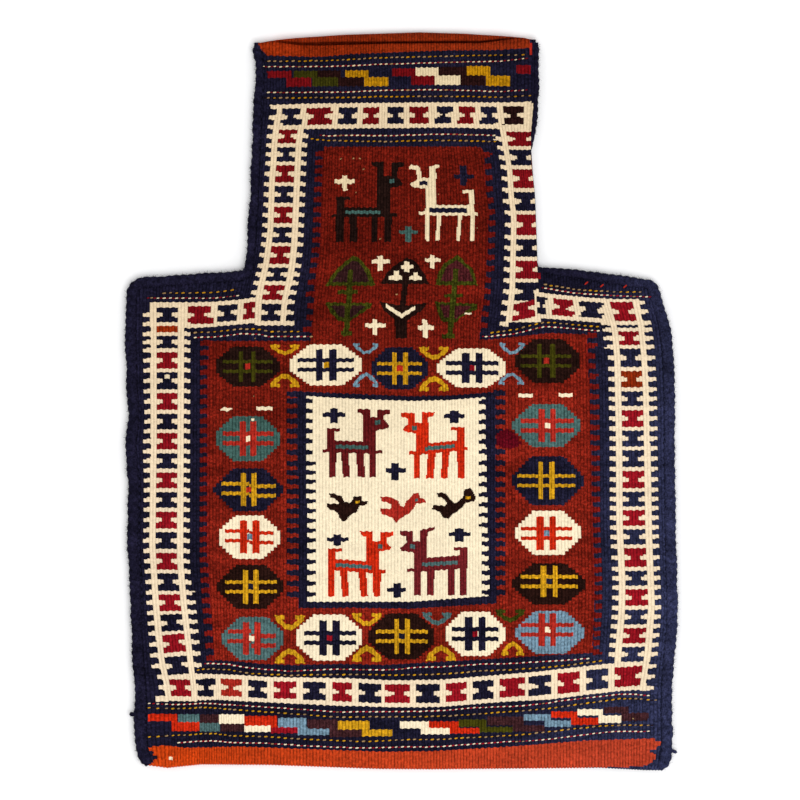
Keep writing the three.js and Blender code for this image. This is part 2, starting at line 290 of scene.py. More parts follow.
# Painting the cartoon
def paint(yarn, is_inside, left, right, top, bottom, across=strip_x):
    """Gives a yarn to the samples in a box of the cartoon for which is_inside(x, y) holds."""
    first, last = np.searchsorted(levels, (top, bottom))
    if first >= last:
        return
    window = across[:, first:last]
    strips = np.nonzero((window.max(axis=1) >= left) & (window.min(axis=1) <= right))[0]
    if len(strips) == 0:
        return
    columns = slice(strips[0], strips[-1] + 1)
    x = across[columns, first:last]
    y = np.broadcast_to(levels[first:last], x.shape)
    inside = (x >= left) & (x <= right) & is_inside(x, y)
    yarn_at[columns, first:last][inside] = YARN_NAMES.index(yarn)


def shape(yarn, outline, across=rib_x):
    """A closed outline of (x, y) points, in steps of whole ribs or, across strip_x, in finer ones."""
    def is_inside(x, y):
        inside = np.zeros(x.shape, dtype=bool)
        for (x0, y0), (x1, y1) in zip(outline, outline[1:] + outline[:1]):
            if y0 != y1:
                inside ^= ((y0 > y) != (y1 > y)) & (x < (x1 - x0) * (y - y0) / (y1 - y0) + x0)
        return inside

    xs, ys = zip(*outline)
    paint(yarn, is_inside, min(xs), max(xs), min(ys), max(ys), across)


def block(yarn, left, right, top, bottom):
    paint(yarn, lambda x, y: np.ones(x.shape, dtype=bool), left, right, top, bottom)


def band(yarn, top, bottom, left, right):
    """Between two curves of y at each x."""
    def is_inside(x, y):
        return (y >= at(top, x)) & (y <= at(bottom, x))

    heights = [value for _, value in top + bottom]
    paint(yarn, is_inside, left, right, min(heights), max(heights))


def column(yarn, left, right, top, bottom):
    """Between two curves of x at each y."""
    def is_inside(x, y):
        return (x >= at(left, y)) & (x <= at(right, y))

    widths = [value for _, value in left + right]
    paint(yarn, is_inside, min(widths), max(widths), top, bottom)


def field(yarn, left, right, top, bottom):
    """Between two curves of x at each y and two curves of y at each x."""
    def is_inside(x, y):
        is_across = (x >= at(left, y)) & (x <= at(right, y))
        return is_across & (y >= at(top, x)) & (y <= at(bottom, x))

    widths = [value for _, value in left + right]
    heights = [value for _, value in top + bottom]
    paint(yarn, is_inside, min(widths), max(widths), min(heights), max(heights))


# Motifs of the borders
NOTCH_DEPTH = 6.8
NOTCH_HALF_HEIGHT = 3.1
NOTCH_TIP_HALF_HEIGHT = 1.3
TOOTH_HALF_HEIGHT = 3.1
TOOTH_TIP_HALF_HEIGHT = 1.5
CRENEL_HALF_HEIGHT = 3.2
CRENEL_TIP_HALF_HEIGHT = 2.3
SMALLEST_SPOOL = 8
RUNG_HEIGHT = 3.8
POST_WIDTH = 6
ROW_RAIL = 4.2
LADDER_RAIL_HALF = 2.9


def spool(yarn, left_edge, right_edge, top, bottom, rise=0):
    """A block with a notch in its left and right edge, each a third of its width at most, or a plain bar
    if it is low. The edges are curves of x at each y, and rise lifts the right side."""
    middle = (top + bottom) / 2
    near = NOTCH_HALF_HEIGHT
    far = NOTCH_TIP_HALF_HEIGHT
    depth = min(NOTCH_DEPTH, (at(right_edge, middle) - at(left_edge, middle)) / 3)
    profile = [(top, 0), (bottom, 0)]
    if bottom - top >= SMALLEST_SPOOL:
        profile[1:1] = [
            (middle - near, 0), (middle - far, depth), (middle + far, depth), (middle + near, 0),
        ]
    left_points = [(at(left_edge, level) + inset, level) for level, inset in profile]
    right_points = [(at(right_edge, level) - inset, level - rise) for level, inset in profile]
    shape(yarn, left_points + right_points[::-1])


def tooth(yarn, root, tip, level, root_half=TOOTH_HALF_HEIGHT, tip_half=TOOTH_TIP_HALF_HEIGHT):
    shape(yarn, [
        (root, level - root_half), (tip, level - tip_half),
        (tip, level + tip_half), (root, level + root_half),
    ])


def tooth_levels(curve):
    """Levels of a row of teeth, from a curve of the level at each tooth's number."""
    return at(curve, np.arange(curve[-1][0] + 1))


def crenels(yarn, edge, reach, found_levels):
    """Teeth of a field that reach over its edge, a curve of x at each y."""
    for level in found_levels:
        root = at(edge, level)
        start = root - np.sign(reach)
        tooth(yarn, start, root + reach, level, CRENEL_HALF_HEIGHT, CRENEL_TIP_HALF_HEIGHT)


def ladder_teeth(rungs):
    """Teeth stand at each rung between two cells and at the middle of each tall cell."""
    cells = list(zip(rungs, rungs[1:]))
    tall = 2 * SMALLEST_SPOOL
    return rungs[1:-1] + [(upper + lower) / 2 for upper, lower in cells if lower - upper >= tall]


def cells_between(yarns, rungs):
    """Yarn, top and bottom of each cell of an upright ladder."""
    half = RUNG_HEIGHT / 2
    return [(yarn, upper + half, lower - half) for yarn, upper, lower in zip(yarns, rungs, rungs[1:])]


def ladder(left_rail, right_rail, yarns, rungs, top, bottom, teeth, half=LADDER_RAIL_HALF,
           rises=((0, 0),)):
    """An upright ladder border: cream rails and rungs, spools in the cells and teeth along the rails.
    teeth gives their lengths on the left and on the right, and rises how far the cells at each level climb
    to the right."""
    column("cream", shifted(left_rail, -half), shifted(right_rail, half), top, bottom)
    for level in ladder_teeth(rungs):
        tooth("cream", at(left_rail, level), at(left_rail, level) - half - teeth[0], level)
        level -= at(rises, level)
        tooth("cream", at(right_rail, level), at(right_rail, level) + half + teeth[1], level)
    for yarn, upper, lower in cells_between(yarns, rungs):
        spool(yarn, shifted(left_rail, half), shifted(right_rail, -half), upper, lower, at(rises, upper))


def ladder_row(yarns, posts, top, bottom, left, right):
    """A ladder border lying across the cloth, between curves of y at each x."""
    band("cream", top, bottom, left, right)
    for yarn, post, next_post in zip(yarns, posts, posts[1:]):
        start = post + POST_WIDTH / 2
        end = next_post - POST_WIDTH / 2
        upper = at(top, start) + ROW_RAIL
        lower = at(bottom, start) - ROW_RAIL
        spool(yarn, [(0, start)], [(0, end)], upper, lower, at(top, start) - at(top, end))


def zigzag(top, middle, bottom, steps):
    """A stepped line between curves of y at each x. Each yarn has an upper and a lower block, given as the
    left and right end of the one and of the other."""
    for yarn, upper_left, upper_right, lower_left, lower_right in steps:
        upper_x = (upper_left + upper_right) / 2
        lower_x = (lower_left + lower_right) / 2
        block(yarn, upper_left, upper_right, at(top, upper_x), at(middle, upper_x))
        block(yarn, lower_left, lower_right, at(middle, upper_x), at(bottom, lower_x))


# Motifs of the fields
CROSS_TAPER = 0.12


def cross(yarn, stem, arms):
    """A stem and two slightly tapered arms, each box given as left, right, top and bottom."""
    left, right, top, bottom = arms
    taper = (bottom - top) * CROSS_TAPER
    block(yarn, *stem)
    shape(yarn, [
        (left, top + taper), (stem[0], top), (stem[1], top), (right, top + taper),
        (right, bottom - taper), (stem[1], bottom), (stem[0], bottom), (left, bottom - taper),
    ], strip_x)


WIDE_HORNS = (
    [(-6, 0), (-19, 0), (-18.5, 3.2), (-12.6, 6), (-12.6, 15), (-6, 15)],
    [(1, 1), (14.5, 0.5), (14, 4.6), (8, 6.5), (7, 15), (1, 15)],
)
TALL_HORNS = (
    [(-6, 0), (-21, -3.6), (-20.5, -0.6), (-13.6, 2.4), (-12.6, 15), (-6, 15)], WIDE_HORNS[1],
)
THIN_HORNS = (
    [(-4, 14), (-11.5, 14), (-9.8, 4.2), (-13.8, 1.6), (-13.8, -0.6), (-7.5, 0.5), (-3.5, 2)],
    [
        (8.4, 14), (3.7, 14), (5.2, 2.5), (8.5, 0.8), (14.5, 0), (16.5, 1.5), (16, 4), (13, 4.6), (10, 4),
        (9, 7),
    ],
)

# Sizes that all goats share, in threads: tail tip and chest tuft as length and height. The lifts of the
# saddle's two ends are shares of the rear's lift
BROW = 4
MUZZLE = 7
TAIL_TIP = (6, 3.2)
CHEST_TUFT = (7, 3.5)
SPUR_HEIGHT = 3
HOOF_TAPER = 0.3
SADDLE_REAR_LIFT = 0.8
SADDLE_CHEST_LIFT = 0.2
EYE_DROP = 3.2


def goat(yarn, trim, toward, rear, chest, nose, levels_down, tail_top, legs, lift=0, lean=2, neck=13,
         tail=8, spur=0, eye=(4, 5, 4.4), collar=9, saddle=3.8, horns=WIDE_HORNS):
    """A goat with two horns and four legs. toward is 1 when it looks right and -1 when it looks left, lift
    is how much its rear rises, lean how far its middle legs slant, spur the length of the tuft at its
    rear, eye how far the eye lies ahead and its size, collar the gap between chest and saddle, and saddle
    the height of the saddle. Parts overlap by some threads, to leave no gap."""
    horn_top, crown, jaw, back, belly, feet = levels_down

    def piece(piece_yarn, start, end, top, bottom):
        block(piece_yarn, min(start, end), max(start, end), top, bottom)

    for horn in horns:
        shape(yarn, [(chest + ahead * toward, horn_top + down) for ahead, down in horn], strip_x)
    piece(yarn, chest - neck * toward, chest + BROW * toward, crown, jaw)
    shape(yarn, [
        (chest, crown), (chest + MUZZLE * toward, crown + 1), (nose, jaw - 3),
        (nose - 2 * toward, jaw - 0.5), (chest, jaw + 1.5),
    ], strip_x)
    piece(yarn, chest - neck * toward, chest, jaw - 1, back + 3)
    shape(yarn, [(rear, back - lift), (chest, back), (chest, belly), (rear, belly - lift)], strip_x)
    piece(yarn, rear, rear + tail * toward, tail_top, back + 1)
    piece(yarn, rear, rear + (tail + TAIL_TIP[0]) * toward, tail_top, tail_top + TAIL_TIP[1])
    tuft_length, tuft_height = CHEST_TUFT
    tuft_bottom = belly - 0.5
    piece(yarn, chest - 2 * toward, chest + tuft_length * toward, tuft_bottom - tuft_height, tuft_bottom)
    piece(yarn, rear + 3 * toward, rear - spur * toward, belly - lift - SPUR_HEIGHT, belly - lift)
    for number, (left, right) in enumerate(legs):
        share = ((left + right) / 2 - chest) / (rear - chest)
        slant = lean * toward if number in (1, 2) else 0
        top = belly - lift * share - 2
        shape(yarn, [
            (left, top), (right, top),
            (right + slant - HOOF_TAPER, feet), (left + slant + HOOF_TAPER, feet),
        ], strip_x)
    saddle_rear = rear + (tail + 1) * toward
    saddle_chest = chest - collar * toward
    middle = (back + belly) / 2
    rear_middle = middle - lift * SADDLE_REAR_LIFT
    chest_middle = middle - lift * SADDLE_CHEST_LIFT
    half = saddle / 2
    shape(trim, [
        (saddle_rear, rear_middle - half), (saddle_chest, chest_middle - half),
        (saddle_chest, chest_middle + half), (saddle_rear, rear_middle + half),
    ])
    ahead, eye_width, eye_height = eye
    eye_front = chest + ahead * toward
    eye_top = crown + EYE_DROP
    piece(trim, eye_front - eye_width * toward, eye_front, eye_top, eye_top + eye_height)


# Lattice of a medallion: half the length of its bars as shares of the shield's height and width, how far
# the level bars lie off the middle, and the largest dot, in threads
UPRIGHT_SHARE = 0.38
LEVEL_SHARE = 0.39
LEVEL_DISTANCE = 4.8
DOT_SIZE = 5.4


def medallion(x, y, width, height, ground, bars, dot, bar_width=6.2, rail_height=4.3, gap=5.4,
              roundness=0.8, tilt=0, shift=(0, 0)):
    """A shield with twelve corners, more or less round, under a lattice of two upright and two level bars
    with a dot between them. tilt is how far the right half of the level bars drops, and shift how far the
    lattice lies off centre."""
    sides = [(1, 0.08 + 0.2 * roundness), (0.73 + 0.13 * roundness, 0.5), (0.44, 1)]
    lower = sides + [(-across, down) for across, down in sides[::-1]]
    corners = lower + [(-across, -down) for across, down in lower]
    shape(ground, [(x + across * width / 2, y + down * height / 2) for across, down in corners])
    x += shift[0]
    y += shift[1]
    reach = height * UPRIGHT_SHARE
    for side in (-1, 1):
        start = x + side * gap / 2
        end = start + side * bar_width
        block(bars, min(start, end), max(start, end), y - reach, y + reach)
        top = y + side * LEVEL_DISTANCE - rail_height / 2
        block(bars, x - width * LEVEL_SHARE, x, top - tilt / 2, top - tilt / 2 + rail_height)
        block(bars, x, x + width * LEVEL_SHARE, top + tilt / 2, top + tilt / 2 + rail_height)
    dot_half = min(gap, DOT_SIZE) / 2
    block(dot, x - dot_half, x + dot_half, y - DOT_SIZE / 2, y + DOT_SIZE / 2)


THICK_ARCH = [(0, 0), (5, 0.12), (13.5, 0.62), (15, 1), (5, 1), (5, 0.76), (8.5, 0.7), (2.5, 0.38)]
THIN_ARCH = [
    (0, 0), (3, 0.03), (9.5, 0.45), (12.7, 0.8), (12.3, 1), (6.5, 1), (6.5, 0.78), (9.2, 0.78),
    (1.5, 0.26),
]


def arch(yarn, x, apex, feet, half=THICK_ARCH, stretch=1):
    """A small hooked arch from its apex level to the level of its feet, more or less stretched across."""
    rise = feet - apex
    mirrored = [(-across, down) for across, down in reversed(half[1:])]
    shape(yarn, [(x + across * stretch, apex + down * rise) for across, down in half + mirrored], strip_x)


# Ground of the cloth: a brick field with toothed edges, and an ivory panel in a navy frame. A row of teeth
# is an edge, how far the teeth reach over it, and their levels by number. A side of the panel is its
# direction, the edges of frame and ivory, the level of its top corner's tooth, and those of the others
NECK_FIELD_LEFT = [(147, 324), (165, 322.5), (250, 320), (288, 314.5), (306, 313.5), (341, 311)]
NECK_FIELD_RIGHT = [(147, 480), (152, 484), (190, 486), (215, 489), (250, 487.5), (290, 484.5), (341, 479)]
BODY_FIELD_LEFT = [(341, 209), (400, 207.5), (550, 207.5), (660, 214.5)]
BODY_FIELD_RIGHT = [(332, 587), (388, 589), (448, 590.5), (505, 592), (605, 594.5), (655, 592)]
BODY_FIELD_TOP = [(205, 341), (311, 341), (330, 338), (470, 338), (485, 340), (550, 333), (600, 335)]
BODY_FIELD_BOTTOM = [
    (205, 659), (240, 661), (263, 663.5), (295, 664.5), (340, 663.5), (384, 664.5), (600, 652),
]
FIELD_TEETH = [
    (NECK_FIELD_LEFT, -7.5, [(0, 154), (3, 179.5), (12, 270.5), (17, 329.5)]),
    (NECK_FIELD_RIGHT, 7, [(0, 155), (15, 325.5)]),
    (BODY_FIELD_LEFT, -8, [(0, 343), (16, 498.5), (28, 620.5), (31, 657.5)]),
    (BODY_FIELD_RIGHT, 8.5, [(0, 335.5), (22, 560.5), (32, 651.5)]),
]
PANEL_TOP = [(288, 391), (410, 396.2), (450, 395.5), (505, 391)]
PANEL_BOTTOM = [(288, 608), (350, 607.5), (410, 608.5), (505, 602.5)]
PANEL_LEFT = [(391, 298), (608, 298.5)]
PANEL_RIGHT = [(391, 495), (608, 496)]
IVORY_TOP = [(307, 396), (360, 399.3), (412, 401), (450, 400), (490, 396.8)]
IVORY_BOTTOM = [(307, 601.5), (410, 601.5), (490, 595.5)]
IVORY_LEFT = [(391, 305.8), (608, 308)]
IVORY_RIGHT = [(391, 485), (480, 486.5), (608, 490)]
PANEL_SIDES = [
    (
        -1, PANEL_LEFT, IVORY_LEFT, 394,
        [(0, 401), (4, 441), (6, 463.5), (8, 481.5), (14, 540), (19, 594)],
    ),
    (
        1, PANEL_RIGHT, IVORY_RIGHT, 393,
        [(0, 402), (5, 451.5), (7, 474), (13, 535), (14, 543.5), (19, 592)],
    ),
]
PANEL_TOOTH = 10.5
IVORY_TOOTH = 8

column("brick", NECK_FIELD_LEFT, NECK_FIELD_RIGHT, NECK_FIELD_LEFT[0][0], NECK_FIELD_LEFT[-1][0])
field("brick", BODY_FIELD_LEFT, BODY_FIELD_RIGHT, BODY_FIELD_TOP, BODY_FIELD_BOTTOM)
for edge, reach, rows in FIELD_TEETH:
    crenels("dark_brick", edge, reach, tooth_levels(rows))
field("navy", PANEL_LEFT, PANEL_RIGHT, PANEL_TOP, PANEL_BOTTOM)
for side, edge, _, corner_tooth, rows in PANEL_SIDES:
    crenels("navy", edge, side * PANEL_TOOTH, [corner_tooth, *tooth_levels(rows)])
field("ivory", IVORY_LEFT, IVORY_RIGHT, IVORY_TOP, IVORY_BOTTOM)
for side, _, edge, _, rows in PANEL_SIDES:
    for level in tooth_levels(rows):
        root = at(edge, level)
        tooth("navy", root + side, root - side * IVORY_TOOTH, level)

# Ladder borders: the neck, the two shoulders, the bottom and the sides, by the middles of rungs and posts
NECK_LEFT_RUNGS = [126.8, 145, 163.1, 184, 204.5, 225, 244.3, 265.5, 282.9, 301.8, 323.2]
NECK_RIGHT_RUNGS = [129.3, 147.6, 167, 189.7, 212.4, 236.9, 258.5, 280.3, 302.6, 323.7]
BODY_LEFT_RUNGS = [
    305.3, 324, 334, 350.2, 370.4, 391.2, 411.8, 431.1, 451.4, 470.5, 490.2, 509.7, 530.3, 551, 571.5,
    592.7, 613.2, 633.8, 655.6, 677.4, 698.2,
]
BODY_RIGHT_RUNGS = [
    300, 322.9, 329.6, 346.8, 368.9, 389.4, 408.2, 428.7, 448.4, 469, 489.9, 508.3, 527.5, 546.3, 568.9,
    587.5, 607.8, 626.3, 645.1, 663.5,
]
NECK_POSTS = [278.3, 304, 335, 360.4, 383.2, 405.6, 432.6, 455, 477.2, 500.2, 527.7]
LEFT_SHOULDER_POSTS = [183.6, 215.3, 240.4, 258.7]
RIGHT_SHOULDER_POSTS = [534.9, 549.5, 577, 606.2]
BOTTOM_POSTS = [
    193.5, 218.2, 244.1, 270, 299.4, 327.9, 354.3, 383.2, 412.7, 442.7, 469.5, 496.6, 526.8, 554.8, 582.9,
    610.9, 644.5,
]
RED_FIRST = ["crimson", "navy"]
NAVY_FIRST = ["navy", "crimson"]
NECK_RIGHT_TOOTH = 10
NECK_CELL_OVERLAP = 1.5
LAST_NECK_CELL_END = 536
LAST_NECK_CELL_RISE = 5.5

ladder(
    *NECK_LEFT_RAILS, RED_FIRST * 5, NECK_LEFT_RUNGS, top=105, bottom=325, teeth=(5.5, 6.5), half=2.6,
)
column("cream", shifted(NECK_RIGHT_RAIL, -LADDER_RAIL_HALF), NECK_RIGHT_EDGE, 103, 322)
for level in ladder_teeth(NECK_RIGHT_RUNGS) + [324]:
    root = at(NECK_RIGHT_RAIL, level)
    tooth("cream", root, root - NECK_RIGHT_TOOTH, level)
cell_start = shifted(NECK_RIGHT_RAIL, LADDER_RAIL_HALF)
cell_end = shifted(NECK_RIGHT_EDGE, NECK_CELL_OVERLAP)
*neck_cells, last_cell = cells_between(RED_FIRST * 5, NECK_RIGHT_RUNGS)
for yarn, upper, lower in neck_cells:
    spool(yarn, cell_start, cell_end, upper, lower)
yarn, upper, lower = last_cell
spool(yarn, cell_start, [(0, LAST_NECK_CELL_END)], upper, lower, LAST_NECK_CELL_RISE)
ladder_row(
    NAVY_FIRST * 4 + ["navy", "brown"], NECK_POSTS,
    top=[(270, 104.2), (485, 102.6), (523, 101.7), (532, 100.6)],
    bottom=[(270, 129.4), (440, 128.2), (532, 128.8)],
    left=276.5, right=531.5,
)
block("cream", 256, 294.5, 321, 325.3)
block("cream", 270, 277, 104.5, 108.4)
for level in (117.1, 126.7, 136):
    tooth("cream", 278, 268.5, level)
ladder_row(
    RED_FIRST + ["crimson"], LEFT_SHOULDER_POSTS,
    top=[(150, 302.6), (213, 301.8), (240, 299.4), (258, 296.7)],
    bottom=[(150, 326.6), (187, 328.3), (213, 326.8), (258, 322.6)],
    left=150, right=258,
)
ladder_row(
    NAVY_FIRST + ["navy"], RIGHT_SHOULDER_POSTS,
    top=[(535, 291.4), (550, 293.7), (590, 297.6), (640, 300.2), (645, 301.5)],
    bottom=[(535, 317.7), (640, 325.6)],
    left=535, right=645,
)
block("navy", 609, 660, 304, 330)
ladder_row(
    ["navy", "red"] + NAVY_FIRST * 7, BOTTOM_POSTS,
    top=[
        (155, 674), (200, 673.2), (240, 674.5), (270, 676.5), (350, 678), (390, 680), (440, 679.2),
        (538, 671.3), (605, 663.6), (645, 661.7),
    ],
    bottom=[
        (155, 701.5), (215, 699.3), (340, 705.6), (400, 707.2), (440, 706.6), (500, 701.6), (550, 699.2),
        (590, 693.8), (620, 690.7), (645, 690),
    ],
    left=165, right=646.5,
)
block("cream", 155, 168, 696.3, 701.8)
right_rail = BODY_RIGHT_RAILS[1]
column("cream", shifted(right_rail, -LADDER_RAIL_HALF), shifted(right_rail, LADDER_RAIL_HALF), 661, 690.5)
for level, tip in ((666.5, 656), (677, 655), (688.5, 652.5)):
    tooth("cream", 643, tip, level)
ladder(
    *BODY_LEFT_RAILS, ["navy", "mouth_rust"] + NAVY_FIRST * 9, BODY_LEFT_RUNGS, top=302, bottom=701,
    teeth=(7, 8), rises=[(590, 0), (640, 3), (665, 2), (680, 0)],
)
ladder(
    *BODY_RIGHT_RAILS, RED_FIRST * 2 + ["dark_rust", "navy"] + RED_FIRST + NAVY_FIRST * 5 + ["navy"],
    BODY_RIGHT_RUNGS, top=299, bottom=665, teeth=(8, 7.5),
)

# Stepped lines at the mouth and above the fold, and the rust ground at both ends
RUST_MOUTH_EDGE = [
    (258, 44), (262, 50), (267, 55), (310, 56.5), (325, 56.5), (350, 54), (440, 50.5), (500, 49.5),
    (528, 47.5),
]
RUST_FOLD_EDGE = [
    (149, 747), (165, 746), (185, 748.2), (240, 747), (380, 752.2), (430, 751.8), (520, 746.4), (585, 741),
    (662, 738.5),
]
zigzag(
    top=[(267, 70.5), (370, 70.6), (404, 68.7), (490, 65.8)],
    middle=[(280, 77.4), (357, 77.3), (404, 76.5), (490, 75.3)],
    bottom=[(300, 86.7), (376, 86.5), (423, 85.4), (510, 86)],
    steps=[
        ("crimson", 267, 292, 286.5, 311.6), ("olive", 293.5, 317.5, 312, 338),
        ("brown", 317.5, 341, 338, 363.5), ("gold", 345.4, 369, 364, 388), ("crimson", 392, 416, 411, 436),
        ("ivory", 416, 438.5, 435, 460), ("brown", 438.5, 466.5, 460, 485),
        ("gold", 467, 490.3, 485.4, 510.7),
    ],
)
block("crimson", 517, 531, 64.5, 73.5)
zigzag(
    top=[(162, 714), (232, 714.3), (354, 721.2), (444, 721.2), (473, 719.2), (537, 714.2), (616, 706.5)],
    middle=[(162, 721.4), (232, 724), (340, 730), (450, 728), (505, 725.5), (537, 720.5), (616, 713)],
    bottom=[(185, 731.4), (257, 732), (345, 737.4), (435, 734.6), (529, 731.6), (558, 727), (635, 721)],
    steps=[
        ("orange", 148, 177, 171, 199.6), ("teal", 178, 199.6, 199.6, 219.8),
        ("brown", 200, 219.3, 220.3, 244.3), ("ivory", 219.3, 244.2, 244.7, 270.8),
        ("orange", 244.7, 277, 270.8, 298), ("sky", 278, 306.7, 298, 329),
        ("brown", 307, 338, 329.3, 361.4), ("gold", 338.2, 369.2, 361.4, 392.7),
        ("ivory", 400, 428.6, 420.5, 450),
        ("orange", 429, 458.6, 450, 479.2), ("olive", 459, 486.8, 479.5, 512.5),
        ("brown", 487, 523.7, 512.5, 545), ("sky", 523.7, 551, 545, 570.6),
        ("orange", 551.3, 577.6, 570.9, 598.8), ("ivory", 577.6, 603.2, 599, 621.3),
        ("brown", 603.4, 629, 621.6, 648.4),
    ],
)
block("crimson", 270.8, 298, 727.7, 733.4)
band("mouth_rust", [(x, CARTOON_TOP) for x, _ in RUST_MOUTH_EDGE], RUST_MOUTH_EDGE, 258, 529.5)
band("rust", RUST_FOLD_EDGE, [(149, CARTOON_BOTTOM), (662, CARTOON_BOTTOM)], 153, 656)
for yarn, root, tip, level in [
    ("rust", 154, 149.5, 749.5), ("navy", 149, 156, 758), ("rust", 655, 664.5, 744.5),
    ("navy", 660, 652, 752), ("navy", 660, 652.5, 762),
]:
    tooth(yarn, root, tip, level)
shape("navy", [(630, 772), (652, 763.5), (657, 759), (657, 772)], strip_x)
block("red", 529.5, 532, 42, 54)

# Neck field: two goats, crosses, two trees and a flower
goat(
    "black", "teal", 1, rear=336.5, chest=390, nose=403, levels_down=(162, 176, 187, 207.7, 217.4, 242),
    tail_top=196.8, legs=((335.5, 344), (349.5, 357.5), (371.5, 378), (384.3, 391.8)), lean=0, spur=5,
    eye=(4, 5, 4), saddle=3.2,
)
goat(
    "ivory", "navy", -1, rear=474, chest=425.5, nose=410,
    levels_down=(165.5, 178, 187.7, 205.3, 215.6, 241), tail_top=190,
    legs=((425.3, 429.5), (437.2, 441.4), (458, 462), (470, 474.2)), neck=10.2, tail=5.2, spur=4,
    eye=(6.2, 8.2, 4.2), collar=5, saddle=4.8, horns=THIN_HORNS,
)
cross("navy", (459.7, 466.7, 166.2, 185.6), (453.6, 473.9, 174.7, 179.2))
cross("teal", (405.5, 411.2, 226.5, 242.3), (399.5, 417.6, 230.5, 234.4))
for stem, arms in [
    ((342.6, 347.4, 175.6, 190.8), (334.4, 354.4, 179.4, 184.4)),
    ((377.5, 382.6, 256.2, 270.8), (371.9, 389.7, 259.4, 264)),
    ((429.8, 434.4, 255.2, 268.4), (424.9, 441, 258.2, 262.2)),
    ((372.6, 377.6, 319.2, 335), (365.5, 385.3, 323.2, 328)),
    ((422.4, 427.4, 319.8, 337.6), (417.9, 434, 325.2, 330.4)),
]:
    cross("ivory", stem, arms)

STEM_HALF_WIDTH = 2.75


def tree(inner_yarn, crown, inner_crown, stem, twigs, cup, inner_cup, foot):
    """A tree of life: a round crown and a cup, both outlined in green around a darker yarn, on one stem,
    which is given as its two ends."""
    half = STEM_HALF_WIDTH
    shape("green", crown, strip_x)
    shape(inner_yarn, inner_crown, strip_x)
    shape("green", cup, strip_x)
    shape(inner_yarn, inner_cup, strip_x)
    shape("green", [(x - half, y) for x, y in stem] + [(x + half, y) for x, y in stem[::-1]], strip_x)
    block("green", *twigs)
    block("green", *foot)


tree(
    "brown",
    crown=[
        (353.7, 255.8), (346, 261.2), (336.5, 270), (330, 278.2), (325.3, 286), (375.3, 286), (373, 279),
        (369.3, 270), (359.5, 258.6),
    ],
    inner_crown=[
        (353.5, 260.5), (346.5, 265.5), (338.5, 273), (332, 282), (369, 282), (366, 273), (359.5, 263),
    ],
    stem=[(351, 270), (346, 336)], twigs=(338, 358, 290.3, 294),
    cup=[
        (325, 302.7), (372.8, 303), (370.3, 308), (356.3, 317), (350.5, 321), (339, 321.5), (330.8, 313.2),
    ],
    inner_cup=[(331, 305.8), (366, 305.8), (352.5, 317.5), (340, 317.5)], foot=(341.6, 352.4, 331, 335.4),
)
tree(
    "plum",
    crown=[
        (458, 254.8), (444, 263.5), (438.3, 272.4), (435.5, 285.2), (477.5, 285.2), (472.7, 268.6),
        (466.3, 264),
    ],
    inner_crown=[(457, 260), (446, 267), (440.5, 281.5), (473.5, 281.5), (469, 270), (463, 265)],
    stem=[(456, 269), (449.5, 338)], twigs=(444.6, 463, 294, 297.4),
    cup=[
        (434.4, 301.8), (477, 304), (476.5, 309.4), (461.2, 317), (455.5, 322.8), (441.5, 321.5),
        (438.3, 313.9),
    ],
    inner_cup=[(439.5, 305), (472, 306.5), (456.5, 318.5), (444.5, 317.5)], foot=(442, 454.8, 334, 338.6),
)
FLOWER_CROWN = [(380.5, 284), (387, 273), (393, 267), (407, 257.6), (416, 262), (425, 275), (429, 284)]
FLOWER_CUP = [
    (379.2, 301.8), (402.5, 306), (426.8, 303), (424, 309), (407, 321), (406.5, 338.5), (396, 338.5),
    (394.5, 319.5), (384, 311),
]
FLOWER_STEM = [(402.6, 281), (408.4, 281), (405, 310), (399.5, 310)]
FLOWER_VEE = [(386, 303.8), (401.5, 313.8), (415.5, 305.8), (415.5, 309.4), (401.5, 318.4), (386, 307.8)]
for outline in (FLOWER_CROWN, FLOWER_CUP, FLOWER_STEM):
    shape("black", outline, strip_x)
shape("ivory", FLOWER_VEE, strip_x)
cross("ivory", (404.6, 409, 261.6, 272), (401, 413.2, 265, 269.2))
cross("ivory", (394, 398.6, 271, 280.6), (388.6, 402.2, 275.6, 280.2))
cross("ivory", (413.2, 417.6, 272.6, 280.6), (409, 422.2, 276.2, 280.2))

# Body field: medallions around the panel, with small arches between them
OLIVE_LATTICE = {"ground": "black", "bars": "olive", "dot": "red", "rail_height": 3.1}
BLUE_LATTICE = {"ground": "ivory", "bars": "navy", "bar_width": 7.5, "gap": 6}
RED_LATTICE = {"bars": "red", "dot": "ivory"}
ORANGE_LATTICE = {"ground": "ivory", "bars": "orange", "dot": "sky", "bar_width": 7, "rail_height": 3.6}
GOLD_LATTICE = {"bars": "gold", "bar_width": 5, "rail_height": 3.4}
medallion(247.5, 366.5, 64, 40, **OLIVE_LATTICE, bar_width=4.2, gap=8)
medallion(548, 361, 65, 44, **OLIVE_LATTICE, bar_width=4.8, gap=8.5, shift=(-2, 0))
medallion(326.2, 365, 72, 41, **BLUE_LATTICE, dot="gold")
medallion(472.2, 368, 68, 39, **BLUE_LATTICE, dot="crimson")
medallion(329, 637, 67, 46, **BLUE_LATTICE, dot="crimson", shift=(0.8, 0.5))
medallion(475.2, 633.5, 60, 44, **BLUE_LATTICE, dot="crimson")
medallion(248, 438.5, 64, 45, ground="teal", **RED_LATTICE, gap=5, shift=(0.4, 0))
medallion(547, 425.5, 68, 43, ground="teal", **RED_LATTICE, roundness=0.5)
medallion(253.5, 638, 61, 43, ground="teal", **RED_LATTICE, tilt=4.5, shift=(-1.8, 0))
medallion(550, 632, 67, 43, ground="sky", **RED_LATTICE, roundness=0.6, shift=(-3, -2.6))
medallion(249.2, 537, 62, 43, **ORANGE_LATTICE, tilt=2, shift=(0.5, -0.4))
medallion(548, 532.5, 66, 44, **ORANGE_LATTICE, roundness=0.5, shift=(-1.8, 0.5))
